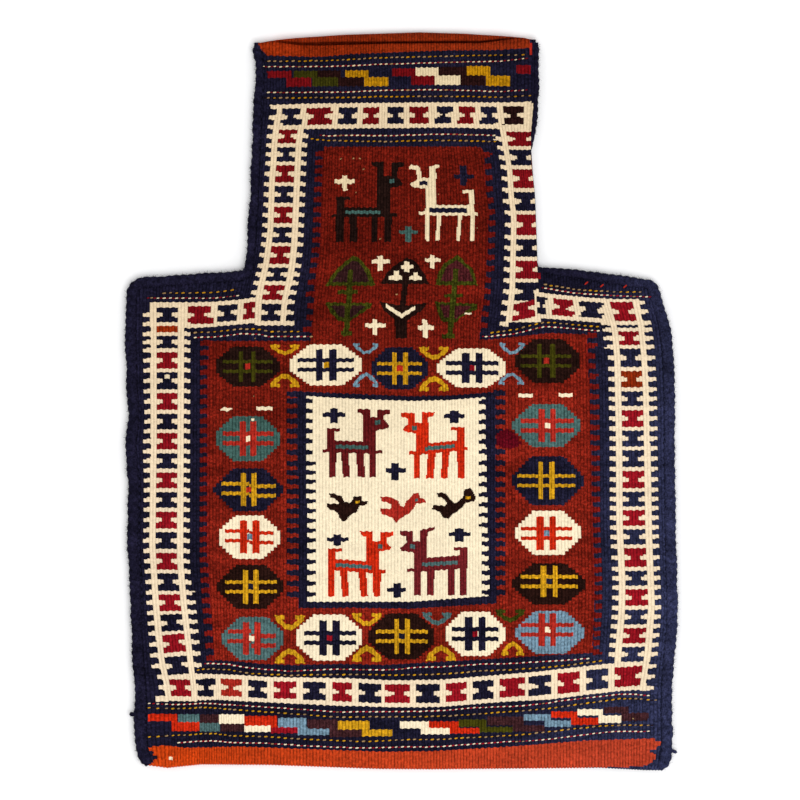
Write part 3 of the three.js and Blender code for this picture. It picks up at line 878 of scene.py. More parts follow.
medallion(399.8, 368.5, 57, 42, ground="navy", dot="red", **GOLD_LATTICE)
medallion(249, 489.5, 69, 43, ground="navy", dot="red", **GOLD_LATTICE, roundness=0.2, tilt=2.4)
medallion(
    547.5, 480.5, 73, 49, ground="navy", dot="navy", **GOLD_LATTICE, gap=6.5, roundness=0.3,
    shift=(-1.5, 0),
)
medallion(251, 586.5, 66, 44, ground="black", dot="navy", **GOLD_LATTICE, gap=6, roundness=0.5)
medallion(
    549, 583.5, 73, 41, ground="black", dot="navy", **GOLD_LATTICE, gap=7, roundness=0.5, shift=(0, -2.4),
)
medallion(402, 636, 66, 46, ground="black", dot="navy", **GOLD_LATTICE)
for yarn, x, apex, feet in [
    ("gold", 285, 355, 344.5), ("gold", 285, 373.5, 387), ("gold", 434, 360, 347), ("gold", 434, 376, 391),
    ("gold", 290, 630, 615), ("gold", 290, 648, 663), ("gold", 367, 626, 613), ("gold", 367, 645, 661.5),
    ("teal", 437, 625, 612), ("gold", 441, 645, 660), ("green", 510, 622, 609),
]:
    arch(yarn, x, apex, feet)
arch("gold", 512.5, 641, 655, stretch=0.75)
for x, apex, feet in [(366, 354, 343.5), (366, 373, 387), (512, 354.5, 343), (511, 373, 384.5)]:
    arch("sky", x, apex, feet, THIN_ARCH)
shape("wine", [(497, 433), (506, 428.5), (516, 434), (521, 444), (512, 449), (498, 447)])
shape("ivory", [(219.5, 409.6), (225, 407.2), (233.5, 408.8), (227, 411.4)], strip_x)
DASH_HALF_HEIGHT = 1.8
for left, right, middle in [(257, 273, 408.3), (518, 532.5, 395.5), (559, 572.5, 395)]:
    block("ivory", left, right, middle - DASH_HALF_HEIGHT, middle + DASH_HALF_HEIGHT)
block("ivory", 252, 254.6, 418, 420.6)
block("ivory", 164.3, 169.8, 374.6, 378.4)

# Ivory panel: goats, crosses and birds
goat(
    "maroon", "teal", 1, rear=326.5, chest=376, nose=389.5, levels_down=(409, 417, 429, 442, 454, 477),
    tail_top=428, legs=((329, 336.4), (340.8, 348.4), (355.8, 363.6), (369, 376)), lift=2, spur=3.5,
)
goat(
    "orange", "teal", -1, rear=465, chest=415.5, nose=402.5,
    levels_down=(412, 422.5, 432, 444.5, 455, 478), tail_top=427,
    legs=((413.9, 420.2), (427.8, 435.8), (442.4, 449.6), (457, 465)), lift=5, spur=2.5,
)
goat(
    "orange", "teal", 1, rear=328, chest=379, nose=391.5, levels_down=(531, 541, 550, 562, 573.5, 596),
    tail_top=548, legs=((327.8, 335.2), (340, 347.4), (358.4, 366.2), (373, 381)), lift=4,
)
goat(
    "maroon", "teal", -1, rear=467.5, chest=414, nose=399.5, levels_down=(530, 541, 551, 558.5, 572, 595),
    tail_top=547, legs=((413.9, 421.2), (427, 434.4), (447.8, 454.8), (459.4, 467)), lift=4, lean=0,
    horns=TALL_HORNS,
)
for stem, arms in [
    ((330.4, 338.2, 408, 423), (322.5, 345.5, 412, 417.2)),
    ((450, 458.5, 410.4, 423), (444, 464.5, 413.5, 418.4)),
    ((391, 399, 463, 480), (385.5, 406, 467.6, 473)),
    ((333.6, 341.6, 534, 545.4), (327.5, 348.8, 537, 541.4)),
    ((455, 464, 528, 541.4), (449, 470.5, 531.8, 536.2)),
    ((393, 401, 583, 597.4), (387, 406, 587.2, 591.8)),
]:
    cross("navy", stem, arms)
LEFT_BIRD = [
    (329.5, 492.7), (334.5, 493.5), (342, 496.5), (344.5, 501), (349, 503), (352.5, 500), (354, 496),
    (361.5, 496), (362, 500.3), (368, 501.5), (367, 504.4), (359.5, 506), (356.5, 512.3), (350, 515),
    (346.8, 520.3), (342, 521), (339.3, 517.4), (338, 512.5), (330, 509), (327, 507), (327.5, 503.4),
    (339, 503.6), (338, 500.5), (330, 496.5),
]
MIDDLE_BIRD = [
    (380.3, 496.6), (389.5, 496.6), (398, 500.3), (400, 505.5), (404, 506.8), (406.6, 500.3), (412, 496.3),
    (413.2, 492.8), (418.6, 492.8), (420, 497), (425.4, 500.2), (425.4, 502.6), (416, 503.6),
    (413.5, 508.4), (410.5, 512.3), (401.5, 517.6), (396, 522.8), (392, 517.6), (381.5, 513.6),
    (379.6, 508), (389.5, 508.8), (392, 507), (390.5, 503.6), (382, 501),
]
RIGHT_BIRD = [
    (436.8, 492.5), (445, 492.7), (449, 497.6), (454, 503), (458, 501.6), (463, 496.3), (464.3, 489.5),
    (469.8, 487.4), (472.8, 491), (476.2, 497.6), (474, 501), (466, 502.8), (459.3, 509.8), (451.5, 515),
    (448.2, 519), (442, 516.3), (439.5, 511.6), (432, 509), (432.7, 504.8), (444.5, 505.6), (447, 503.6),
    (444.5, 499.3), (438, 496.6),
]
shape("black", LEFT_BIRD, strip_x)
shape("red", MIDDLE_BIRD, strip_x)
shape("black", RIGHT_BIRD, strip_x)
block("gold", 355.5, 360, 500.5, 503)
block("teal", 414.5, 417.5, 498.5, 501.5)
block("gold", 466, 471, 496, 499)

# Small light flecks of stray wool
FLECK_HALF_WIDTH = 0.9
FLECK_HALF_HEIGHT = 0.6
for x, y in [
    (341, 159), (353.5, 159), (360, 159), (363.7, 169.7), (356, 192.4), (380, 239), (254, 396),
    (438.5, 194.4), (477, 228), (255, 338.7), (397, 294.5), (633.5, 719),
]:
    block("tan", x - FLECK_HALF_WIDTH, x + FLECK_HALF_WIDTH, y - FLECK_HALF_HEIGHT, y + FLECK_HALF_HEIGHT)
block("ivory", 464, 471, 313, 314.4)
block("cream", 168.4, 172.8, 757.3, 760.7)


# Lie of the cloth: heights in millimetres over the floor
def ease(value):
    share = np.clip(value, 0, 1)
    return share * share * (3 - 2 * share)


def edge_distance(x, y):
    """How far a point lies from the nearest closed edge of the bag."""
    neck_left = NECK_SHIFT - NECK_WIDTH / 2
    neck_right = NECK_SHIFT + NECK_WIDTH / 2
    below = np.maximum(SHOULDER_Y - y, 0)
    to_left_shoulder = np.hypot(np.maximum(x - neck_left, 0), below)
    to_right_shoulder = np.hypot(np.maximum(neck_right - x, 0), below)
    to_sides = np.minimum(x + BODY_WIDTH / 2, BODY_WIDTH / 2 - x)
    in_body = np.minimum.reduce([to_left_shoulder, to_right_shoulder, to_sides, y - FOLD_Y])
    in_neck = np.minimum(x - neck_left, neck_right - x)
    return np.maximum(np.where(y >= SHOULDER_Y, in_neck, in_body), 0)


def front_height(x, y):
    ripple = RIPPLE_HEIGHT * np.sin(2 * np.pi * x / RIPPLE_WIDTH) * np.cos(2 * np.pi * y / RIPPLE_LENGTH)
    share = ease((edge_distance(x, y) - HEM_WIDTH) / RISE_DISTANCE)
    share = share * (1 - MOUTH_DROOP * ease(1 - (MOUTH_Y - y) / MOUTH_DROOP_LENGTH))
    return SEAM_HEIGHT + FOLD_RADIUS + (POUCH_RISE + ripple) * share


def back_height(x, y):
    """The back lies on the floor, but its lip rises behind a narrow slot, almost to the front lip."""
    settled = ease((edge_distance(x, y) - HEM_WIDTH) / SETTLE_DISTANCE)
    lying = (SEAM_HEIGHT - FOLD_RADIUS) * (1 - settled)
    x_threads = x / THREAD + CARTOON_MIDDLE[0]
    lip_y = (CARTOON_MIDDLE[1] - at(FRONT_LIP, x_threads)) * THREAD
    beyond = y - lip_y
    fall = LIP_FALL * ease((beyond - LIP_FALL_START) / LIP_FALL_LENGTH)
    raised = front_height(x, lip_y) - CLOTH_THICKNESS - LIP_DROP - fall
    risen = ease((beyond - at(SLOT_WIDTH, x_threads)) / SLOT_SLOPE)
    share = risen * ease((edge_distance(x, y) - LIP_HEM) / LIP_SETTLE)
    return lying + (raised - lying) * share


def to_millimetres(x, y):
    return (x - CARTOON_MIDDLE[0]) * THREAD, (CARTOON_MIDDLE[1] - y) * THREAD


# Wool: one material for each yarn. Scales of its grain are to the metre, and amounts are shares of how
# uneven the yarn's dye is
DYE_SCALE = (14, 70, 14)
DYE_AMOUNT = 0.5
FIBRE_SCALE = (1300, 800, 1300)
FIBRE_AMOUNT = 1
MOTTLE_SCALE = (350, 350, 350)
MOTTLE_AMOUNT = 0.8
PICK_AMOUNT = 0.7
RIB_AMOUNT = 0.4
NOISE_RANGE = (0.3, 0.7)
# Painted shade in the valleys between the ribs, of uneven depth, and a painted highlight on the crests
VALLEY_SHADE_SCALE = (500, 300, 500)
VALLEY_SHADE_RANGE = (0.35, 0.65)
VALLEY_SHADE_DEPTH = (0.3, 1.3)
CREST_PAINTED_LIGHT = 1.06
FUZZ_SCALE = (900, 1500, 900)
FUZZ_RELIEF = 0.6
BUMP_STRENGTH = 0.5
BUMP_DISTANCE = 0.0005
WOOL_ROUGHNESS = 0.95
WOOL_SPECULAR = 0.03


def linear(display):
    """Display values from 0 to 255 as the linear values of a shader."""
    shares = [value / 255 for value in display]
    return [((share + 0.055) / 1.055) ** 2.4 if share > 0.04 else share / 12.92 for share in shares]


def wool(name, colours, direction, drift_range, streak, valley_shade=None):
    """Hand-spun wool: uneven dye whose colour drifts from one colour to the other across the bag, and
    loose fibres. With a tone for the valleys, every pick of weft has a tone of its own, the valleys
    between the ribs are darkened to that tone as painted shade, and the crests are lightened a little as a
    painted highlight."""
    material = bpy.data.materials.new(name)
    material.use_nodes = True
    nodes = material.node_tree.nodes
    links = material.node_tree.links
    shader = nodes["Principled BSDF"]
    shader.inputs["Roughness"].default_value = WOOL_ROUGHNESS
    shader.inputs["Specular IOR Level"].default_value = WOOL_SPECULAR
    place = nodes.new("ShaderNodeTexCoord")
    axes = nodes.new("ShaderNodeSeparateXYZ")
    links.new(place.outputs["Object"], axes.inputs["Vector"])

    def math_node(operation, first, second):
        node = nodes.new("ShaderNodeMath")
        node.operation = operation
        for socket, value in zip(node.inputs, (first, second)):
            if isinstance(value, (int, float)):
                socket.default_value = value
            else:
                links.new(value, socket)
        return node.outputs["Value"]

    def spread(value, low, high, start=0.0, end=1.0):
        node = nodes.new("ShaderNodeMapRange")
        for socket, limit in zip(("From Min", "From Max", "To Min", "To Max"), (start, end, low, high)):
            node.inputs[socket].default_value = limit
        links.new(value, node.inputs["Value"])
        return node.outputs["Result"]

    def noise(scale, detail=2):
        mapping = nodes.new("ShaderNodeMapping")
        mapping.inputs["Scale"].default_value = scale
        links.new(place.outputs["Object"], mapping.inputs["Vector"])
        texture = nodes.new("ShaderNodeTexNoise")
        texture.inputs["Scale"].default_value = 1
        texture.inputs["Detail"].default_value = detail
        links.new(mapping.outputs["Vector"], texture.inputs["Vector"])
        return texture.outputs["Fac"]

    def uneven(value, amount, value_range=NOISE_RANGE):
        return spread(value, 1 - streak * amount, 1 + streak * amount, *value_range)

    def attribute(attribute_name):
        node = nodes.new("ShaderNodeAttribute")
        node.attribute_name = attribute_name
        return node.outputs["Fac"]

    # The colour drifts from the first to the second farther down the bag, for some yarns farther right
    to_right = math_node("MULTIPLY", axes.outputs["X"], direction[0])
    to_mouth = math_node("MULTIPLY", axes.outputs["Y"], direction[1])
    mix = nodes.new("ShaderNodeMix")
    mix.data_type = "RGBA"
    for socket, colour in zip("AB", colours):
        mix.inputs[socket].default_value = (*linear(colour), 1)
    drift_along = math_node("SUBTRACT", to_right, to_mouth)
    links.new(spread(drift_along, 0.0, 1.0, *drift_range), mix.inputs["Factor"])

    tones = [uneven(noise(DYE_SCALE), DYE_AMOUNT), uneven(noise(FIBRE_SCALE), FIBRE_AMOUNT)]
    height = noise(FUZZ_SCALE)
    if valley_shade is None:
        tones.append(uneven(noise(MOTTLE_SCALE), MOTTLE_AMOUNT))
    else:
        rib = attribute("rib")
        half_drop = math_node("MULTIPLY", rib, 0.5)
        pick_place = math_node("ADD", math_node("MULTIPLY", axes.outputs["Y"], 1000 / PICK), half_drop)
        pick = nodes.new("ShaderNodeCombineXYZ")
        links.new(rib, pick.inputs["X"])
        links.new(math_node("FLOOR", pick_place, 0.0), pick.inputs["Y"])
        pick_tone = nodes.new("ShaderNodeTexWhiteNoise")
        pick_tone.noise_dimensions = "2D"
        links.new(pick.outputs["Vector"], pick_tone.inputs["Vector"])
        # Painted shade: the valleys between the ribs are darkened, and the crests lightened a little as a
        # painted highlight
        depth = spread(noise(VALLEY_SHADE_SCALE, 1), *VALLEY_SHADE_DEPTH, *VALLEY_SHADE_RANGE)
        gap = math_node("MULTIPLY", math_node("SUBTRACT", 1.0, attribute("crest")), depth)
        tones += [
            uneven(pick_tone.outputs["Value"], PICK_AMOUNT, (0, 1)),
            uneven(attribute("shade"), RIB_AMOUNT, (0, 1)), spread(gap, CREST_PAINTED_LIGHT, valley_shade),
        ]
        roundness = math_node("PINGPONG", pick_place, 0.5)
        height = math_node("ADD", math_node("MULTIPLY", height, FUZZ_RELIEF), roundness)
    tone = tones[0]
    for other in tones[1:]:
        tone = math_node("MULTIPLY", tone, other)
    toned = nodes.new("ShaderNodeVectorMath")
    toned.operation = "SCALE"
    links.new(mix.outputs["Result"], toned.inputs["Vector"])
    links.new(tone, toned.inputs["Scale"])
    links.new(toned.outputs["Vector"], shader.inputs["Base Color"])

    bump = nodes.new("ShaderNodeBump")
    bump.inputs["Strength"].default_value = BUMP_STRENGTH
    bump.inputs["Distance"].default_value = BUMP_DISTANCE
    links.new(height, bump.inputs["Height"])
    links.new(bump.outputs["Normal"], shader.inputs["Normal"])
    return material


def yarn_material(yarn, suffix, has_ribs):
    direction = ACROSS if yarn in DRIFT_ACROSS else DOWN
    drift_range = DRIFT_ACROSS.get(yarn, DRIFT_DOWN.get(yarn, COMMON_DRIFT))
    streak = STREAKS.get(yarn, COMMON_STREAK)
    # Ribbed yarns get painted shade in the valleys between their ribs
    valley_shade = VALLEY_PAINTED_SHADES.get(yarn, COMMON_VALLEY_PAINTED_SHADE) if has_ribs else None
    return wool(yarn + suffix, YARNS[yarn], direction, drift_range, streak, valley_shade)


rib_yarns = [yarn_material(yarn, "_wool", has_ribs=True) for yarn in YARNS]
smooth_yarns = [yarn_material(yarn, "_wool_stitch", has_ribs=False) for yarn in YARNS]
binding_wool = wool("navy_wool_binding", YARNS["navy"], ACROSS, DRIFT_ACROSS["navy"], BINDING_STREAK)


def make_piece(name, points, faces, materials, yarns, dress=None):
    """A smooth closed piece from points in millimetres. dress adds what else the mesh holds."""
    mesh = bpy.data.meshes.new(name)
    mesh.from_pydata((np.array(points) / 1000).tolist(), [], faces)
    for material in materials:
        mesh.materials.append(material)
    mesh.polygons.foreach_set("material_index", yarns)
    mesh.polygons.foreach_set("use_smooth", [True] * len(faces))
    if dress:
        dress(mesh)
    shell = bmesh.new()
    shell.from_mesh(mesh)
    bmesh.ops.recalc_face_normals(shell, faces=shell.faces)
    shell.to_mesh(mesh)
    shell.free()
    piece = bpy.data.objects.new(name, mesh)
    bpy.context.scene.collection.objects.link(piece)
    return piece


# Weaving the cloth: six layers of one closed skin, each a set of strips between neighbouring warp lines.
# On the UV map each layer has a chart: its origin, the left and bottom of the cartoon there, and its scale
FRONT, BACK, FRONT_LINING, BACK_LINING, FOLD, FOLD_LINING = range(6)
CHART_ORIGIN = np.array([
    (0.01, 0.01), (0.51, 0.01), (0.01, 0.68), (0.51, 0.68), (0.01, 0.01), (0.26, 0.68),
])
CHART_LEFT = 120
CHART_BOTTOM = 788
CHART_FOLD_LENGTH = 8
OUTSIDE_SCALE = 0.00084
LINING_SCALE = 0.0004
RIM = 3
RIM_YARN_DEPTH = 1
RIB_TONE_SHARE = 0.65
LIP_ROW_BEFORE = 4
LIP_ROW_AFTER = 2
NAVY_FOLD_START = 585
NAVY_FOLD_STEP = 22
NAVY_FOLD_STEPS = 2

line_top_x = np.where(
    (all_lines >= neck_start) & (all_lines <= neck_end),
    line_x(all_lines, np.full(line_count, float(MOUTH_LEVEL))),
    line_x(all_lines, np.full(line_count, float(SHOULDER_LEVEL))),
)
bottom_x = line_x(all_lines, np.full(line_count, float(FOLD_LEVEL)))
line_bottom = at(BOTTOM_EDGE, bottom_x) - FOLD_RADIUS / THREAD
left_joint = float(at(LEFT_SHOULDER, at(NECK_LEFT_EDGE, LEFT_NECK_FOOT)))
right_joint = float(at(RIGHT_SHOULDER, at(NECK_RIGHT_EDGE, RIGHT_NECK_FOOT)))


def line_tops(lip):
    """Where each line starts: on a shoulder, or on the lip within the neck."""
    edges = [LEFT_SHOULDER] * neck_start + [lip] * (neck_end + 1 - neck_start)
    edges += [RIGHT_SHOULDER] * (line_count - len(edges))
    return [float(at(edge, x)) for edge, x in zip(edges, line_top_x)]


def strip_top(strip, line, tops):
    """Where a strip starts on one of its two lines; beside the neck that is the foot of the neck edge."""
    if line == neck_start and strip < neck_start:
        return left_joint
    if line == neck_end and strip >= neck_end:
        return right_joint
    return tops[line]


class Skin:
    """The points and faces of the cloth. A point lies on a warp line, at a level, in a layer and, within a
    fold, at a turn. chains holds the levels and points along each line of a layer."""

    def __init__(self):
        self.line = []
        self.level = []
        self.layer = []
        self.turn = []
        self.faces = []
        self.yarns = []
        self.ribs = []
        self.charts = []
        self.shifts = []
        self.chains = {}

    def point(self, layer, line, level, turn=0.0):
        self.line.append(line)
        self.level.append(level)
        self.layer.append(layer)
        self.turn.append(turn)
        return len(self.line) - 1

    def face(self, corners, yarn, rib, chart, shifts=None):
        """Adds a face. chart is the layer whose chart it lies on, shifts how far its corners lie off their
        places there, in threads."""
        self.faces.append(corners)
        self.yarns.append(yarn)
        self.ribs.append(rib)
        self.charts.append(chart)
        self.shifts += shifts or [(0, 0)] * len(corners)

    def between(self, layer, line, top, bottom):
        """The points of one layer along a line, from one level down to another."""
        found_levels, points = self.chains[layer, line]
        return points[bisect.bisect_left(found_levels, top):bisect.bisect_right(found_levels, bottom)]

    def weave(self, layer, tops, breaks, yarns, scallop):
        """Adds one layer. breaks are the levels that divide each strip, yarns the yarns between them."""
        chains = [{tops[line], line_bottom[line]} for line in all_lines]
        chains[neck_start].add(left_joint)
        chains[neck_end].add(right_joint)
        fixed = [set(chain) for chain in chains]
        for strip in range(strip_count):
            chains[strip].update(breaks[strip])
            chains[strip + 1].update(breaks[strip])
        for line in all_lines:
            ordered = sorted(chains[line])
            offsets = [0 if level in fixed[line] else scallop[line] for level in ordered]
            points = [self.point(layer, line, level + offset) for level, offset in zip(ordered, offsets)]
            self.chains[layer, line] = (ordered, points)
        for strip in range(strip_count):
            sides = []
            for line in (strip, strip + 1):
                ends = [strip_top(strip, line, tops), *breaks[strip], line_bottom[line]]
                runs = zip(ends, ends[1:])
                sides.append([self.between(layer, line, top, bottom) for top, bottom in runs])
            for left, right, yarn in zip(*sides, yarns[strip]):
                self.face(left + right[::-1], yarn, strip_rib[strip], layer)


def is_clear_of_joints(strip, level):
    """Whether a level keeps away from the foot of a neck edge that the strip touches."""
    if strip in (neck_start - 1, neck_start) and abs(level - left_joint) < ROW_CLEARANCE:
        return False
    return strip not in (neck_end - 1, neck_end) or abs(level - right_joint) >= ROW_CLEARANCE


def lip_rows(strip):
    """Close rows of the back where it rises behind the front lip."""
    if not neck_start <= strip < neck_end:
        return []
    lip = at(FRONT_LIP, line_top_x[strip])
    slot = at(SLOT_WIDTH, line_top_x[strip])
    risen = slot + SLOT_SLOPE
    distances = (-LIP_ROW_BEFORE, 0, slot, slot + SLOT_SLOPE / 2, risen, risen + LIP_ROW_AFTER)
    return [round((lip - beyond / THREAD) / SAMPLE_STEP) * SAMPLE_STEP for beyond in distances]


def strip_rows(tops, spacing, cartoon, more_rows):
    """Where each strip of a layer is divided, and the yarns between: even rows, more rows for some strips,
    and one wherever the cartoon changes yarn."""
    breaks = []
    yarns = []
    even_rows = np.arange(CARTOON_TOP, CARTOON_BOTTOM, spacing)
    for strip in range(strip_count):
        top = max(strip_top(strip, line, tops) for line in (strip, strip + 1))
        bottom = min(line_bottom[strip], line_bottom[strip + 1])
        first = top + ROW_CLEARANCE
        last = bottom - ROW_CLEARANCE
        changes = levels[np.nonzero(np.diff(cartoon[strip]))[0]] + SAMPLE_STEP / 2
        found = {round(float(level), 3) for level in (*even_rows, *changes, *more_rows(strip))}
        inner = [level for level in found if first < level < last]
        kept = sorted(level for level in inner if is_clear_of_joints(strip, level))
        middles = [(upper + lower) / 2 for upper, lower in zip([top, *kept], [*kept, bottom])]
        picks = np.clip(np.searchsorted(levels, middles), 0, len(levels) - 1)
        breaks.append(kept)
        yarns.append([int(yarn) for yarn in cartoon[strip, picks]])
    return breaks, yarns


def no_rows(strip):
    return []


skin = Skin()
front_tops = line_tops(FRONT_LIP)
back_tops = line_tops(BACK_LIP)
no_scallop = np.zeros(line_count)
plain_rust = np.full_like(yarn_at, RUST)
plain_lining = np.full_like(yarn_at, DARK_RUST)
for layer, tops, spacing, cartoon, more_rows, scallop in [
    (FRONT, front_tops, FRONT_ROW_SPACING, yarn_at, no_rows, line_scallop),
    (BACK, back_tops, BACK_ROW_SPACING, plain_rust, lip_rows, no_scallop),
    (FRONT_LINING, front_tops, FRONT_ROW_SPACING, plain_lining, no_rows, no_scallop),
    (BACK_LINING, back_tops, BACK_ROW_SPACING, plain_lining, lip_rows, no_scallop),
]:
    skin.weave(layer, tops, *strip_rows(tops, spacing, cartoon, more_rows), scallop)


def fold_yarn(strip, step, chart):
    """The fold goes on in the cloth's yarn, and turns navy near its right end, more so farther round."""
    if chart == FOLD_LINING:
        return DARK_RUST
    if bottom_x[strip] > NAVY_FOLD_START + NAVY_FOLD_STEP * max(NAVY_FOLD_STEPS - step, 0):
        return NAVY
    return int(yarn_at[strip, -1]) if step == 0 else RUST


def fold_rings(outer, inner, chart, steps):
    """Joins the front and the back around the bottom fold."""
    rings = []
    for line in all_lines:
        level = line_bottom[line]
        turned = [skin.point(chart, line, level, math.pi * step / steps) for step in range(1, steps)]
        rings.append(
            skin.between(outer, line, level, level) + turned + skin.between(inner, line, level, level)
        )
    drops = [(0, CHART_FOLD_LENGTH * step / steps) for step in range(steps + 1)]
    for strip in range(strip_count):
        left, right = rings[strip], rings[strip + 1]
        for step in range(steps):
            corners = [left[step], left[step + 1], right[step + 1], right[step]]
            shifts = [drops[step], drops[step + 1], drops[step + 1], drops[step]]
            skin.face(corners, fold_yarn(strip, step, chart), strip_rib[strip], chart, shifts)
    return rings


fold = fold_rings(FRONT, BACK, FOLD, FOLD_STEPS)
fold_lining = fold_rings(FRONT_LINING, BACK_LINING, FOLD_LINING, FOLD_LINING_STEPS)

# Cut edges of the cloth: lips and shoulders, then side edges and neck edges
for outside, lining, tops in ((FRONT, FRONT_LINING, front_tops), (BACK, BACK_LINING, back_tops)):
    for strip in range(strip_count):
        upper = []
        lower = []
        for line in (strip, strip + 1):
            top = strip_top(strip, line, tops)
            upper += skin.between(outside, line, top, top)
            lower += skin.between(lining, line, top, top)
        sample = np.searchsorted(levels, max(tops[strip], tops[strip + 1]) + RIM_YARN_DEPTH)
        yarn = int(yarn_at[strip, sample]) if outside == FRONT else DARK_RUST
        shifts = [(0, 0), (0, 0), (0, -RIM), (0, -RIM)]
        skin.face(upper + lower[::-1], yarn, strip_rib[strip], outside, shifts)
    for line, top, bottom, aside in [
        (0, tops[0], line_bottom[0], -RIM), (line_count - 1, tops[-1], line_bottom[-1], RIM),
        (neck_start, tops[neck_start], left_joint, -RIM), (neck_end, tops[neck_end], right_joint, RIM),
    ]:
        rows = [level for level in skin.chains[lining, line][0] if top <= level <= bottom]
        for upper, lower in zip(rows, rows[1:]):
            outer = skin.between(outside, line, upper, lower)
            inner = skin.between(lining, line, upper, lower)[::-1]
            shifts = [(0, 0)] * len(outer) + [(aside, 0)] * len(inner)
            skin.face(outer + inner, NAVY, 0, outside, shifts)
for line in (0, line_count - 1):
    skin.face(fold[line] + fold_lining[line][::-1], NAVY, 0, FOLD)


def skin_piece(name):
    """Turns the skin into a mesh with a face for every run of yarn."""
    line = np.array(skin.line)
    level = np.array(skin.level)
    layer = np.array(skin.layer)
    turn = np.array(skin.turn)
    crest = line_crest[line]
    x_threads = line_x(line, level)
    x, y = to_millimetres(x_threads, level)
    hollow = RIB_DEPTH * (1 - crest)
    front = front_height(x, y)
    back = back_height(x, y)
    radius = np.where(layer == FOLD, FOLD_RADIUS - hollow, CLOSED_GAP / 2)
    z = np.choose(layer, [
        front - hollow, back + hollow, front - CLOTH_THICKNESS, back + CLOTH_THICKNESS - hollow,
        SEAM_HEIGHT + radius * np.cos(turn), SEAM_HEIGHT + radius * np.cos(turn),
    ])
    y = y - radius * np.sin(turn)

    def dress(mesh):
        """Adds what the wool reads, and a UV map with a chart for each layer."""
        rib_tone = [chance.random() for _ in range(int(strip_rib[-1]) + 1)]
        rest = 1 - RIB_TONE_SHARE
        shade = [RIB_TONE_SHARE * rib_tone[rib] + rest * chance.random() for rib in skin.ribs]
        ribs = [float(rib) for rib in skin.ribs]
        for attribute_name, domain, values in (
            ("crest", "POINT", crest), ("shade", "FACE", shade), ("rib", "FACE", ribs),
        ):
            mesh.attributes.new(attribute_name, "FLOAT", domain).data.foreach_set("value", values)
        corners = np.concatenate(skin.faces)
        charts = np.repeat(skin.charts, [len(face) for face in skin.faces])
        scale = np.where(np.isin(charts, (FRONT, FOLD, BACK)), OUTSIDE_SCALE, LINING_SCALE)
        across = x_threads[corners] - CHART_LEFT
        up = CHART_BOTTOM - level[corners]
        from_origin = (np.column_stack([across, up]) + np.array(skin.shifts) * (1, -1)) * scale[:, None]
        uv = mesh.uv_layers.new(name="OFBake")
        uv.data.foreach_set("uv", (CHART_ORIGIN[charts] + from_origin).ravel())

    return make_piece(name, np.column_stack([x, y, z]), skin.faces, rib_yarns, skin.yarns, dress)


cloth = skin_piece("woven_cloth")


# Twined lines: a light and a dark stitch in turn over the ribs, as small raised beads
class Beads:
    """The points and faces of many stitches. A ring is a place along the stitch and a size, as shares."""

    AROUND = 8
    RINGS = ((-1, 0), (-0.6, 0.8), (0.6, 0.8), (1, 0))

    def __init__(self):
        self.points = []
        self.faces = []
        self.yarns = []

    def add(self, yarn, x, y, z, half_length, half_width, half_height, tilt):
        """An egg-shaped stitch. Sizes in millimetres, tilt in radians."""
        first = len(self.points)
        turn_x = math.cos(tilt)
        turn_y = math.sin(tilt)
        for along, size in self.RINGS:
            for step in range(self.AROUND if size else 1):
                angle = 2 * math.pi * step / self.AROUND
                length = along * half_length
                width = size * half_width * math.cos(angle)
                height = size * half_height * math.sin(angle)
                across = length * turn_x - width * turn_y
                up = length * turn_y + width * turn_x
                self.points.append((x + across, y + up, z + height))
        last = len(self.points) - 1
        for step in range(self.AROUND):
            inner = [first + 1 + turned % self.AROUND for turned in (step, step + 1)]
            outer = [corner + self.AROUND for corner in inner]
            self.faces += [(first, inner[1], inner[0]), (*inner, *outer[::-1]), (*outer, last)]
            self.yarns += [YARN_NAMES.index(yarn)] * 3


TAN_SHARE = {"gold": 0.4, "ivory": 0.08}
LIGHT_STITCH = {"gold": (1.4, 0.72), "ivory": (1.3, 0.64)}
DARK_STITCH = (1.25, 0.58)
STITCH_HEIGHT = 0.55
STITCH_TILT = 0.18
STITCH_WANDER = 0.25
STITCH_SIZES = (0.75, 1.08)
SLOPE_REACH = 4
CROSSING_ROUNDS = 3
rib_middles = range(STRIPS_PER_RIB // 2, strip_count, STRIPS_PER_RIB)
beads = Beads()


def twined(light, dark, row):
    """One twined line along a row, a list of (x, y) points: light stitches over every other rib. A few
    rounds find where the row crosses a rib."""
    for number, strip in enumerate(rib_middles):
        level = at(row, CARTOON_MIDDLE[0])
        for _ in range(CROSSING_ROUNDS):
            x = float(np.interp(level, levels, strip_x[strip]))
            level = float(at(row, x))
        if not row[0][0] <= x <= row[-1][0]:
            continue
        is_light = number % 2 == 0
        length, width = LIGHT_STITCH[light] if is_light else DARK_STITCH
        yarn = light if is_light else dark
        if is_light and chance.random() < TAN_SHARE[light]:
            yarn = "tan"
        slope = float(at(row, x - SLOPE_REACH) - at(row, x + SLOPE_REACH)) / (2 * SLOPE_REACH)
        place_x, place_y = to_millimetres(x, level + chance.uniform(-STITCH_WANDER, STITCH_WANDER))
        z = float(front_height(np.array(place_x), np.array(place_y)))
        size = chance.uniform(*STITCH_SIZES)
        tilt = math.atan(slope) + STITCH_TILT
        beads.add(yarn, place_x, place_y, z, length * size, width * size, STITCH_HEIGHT, tilt)


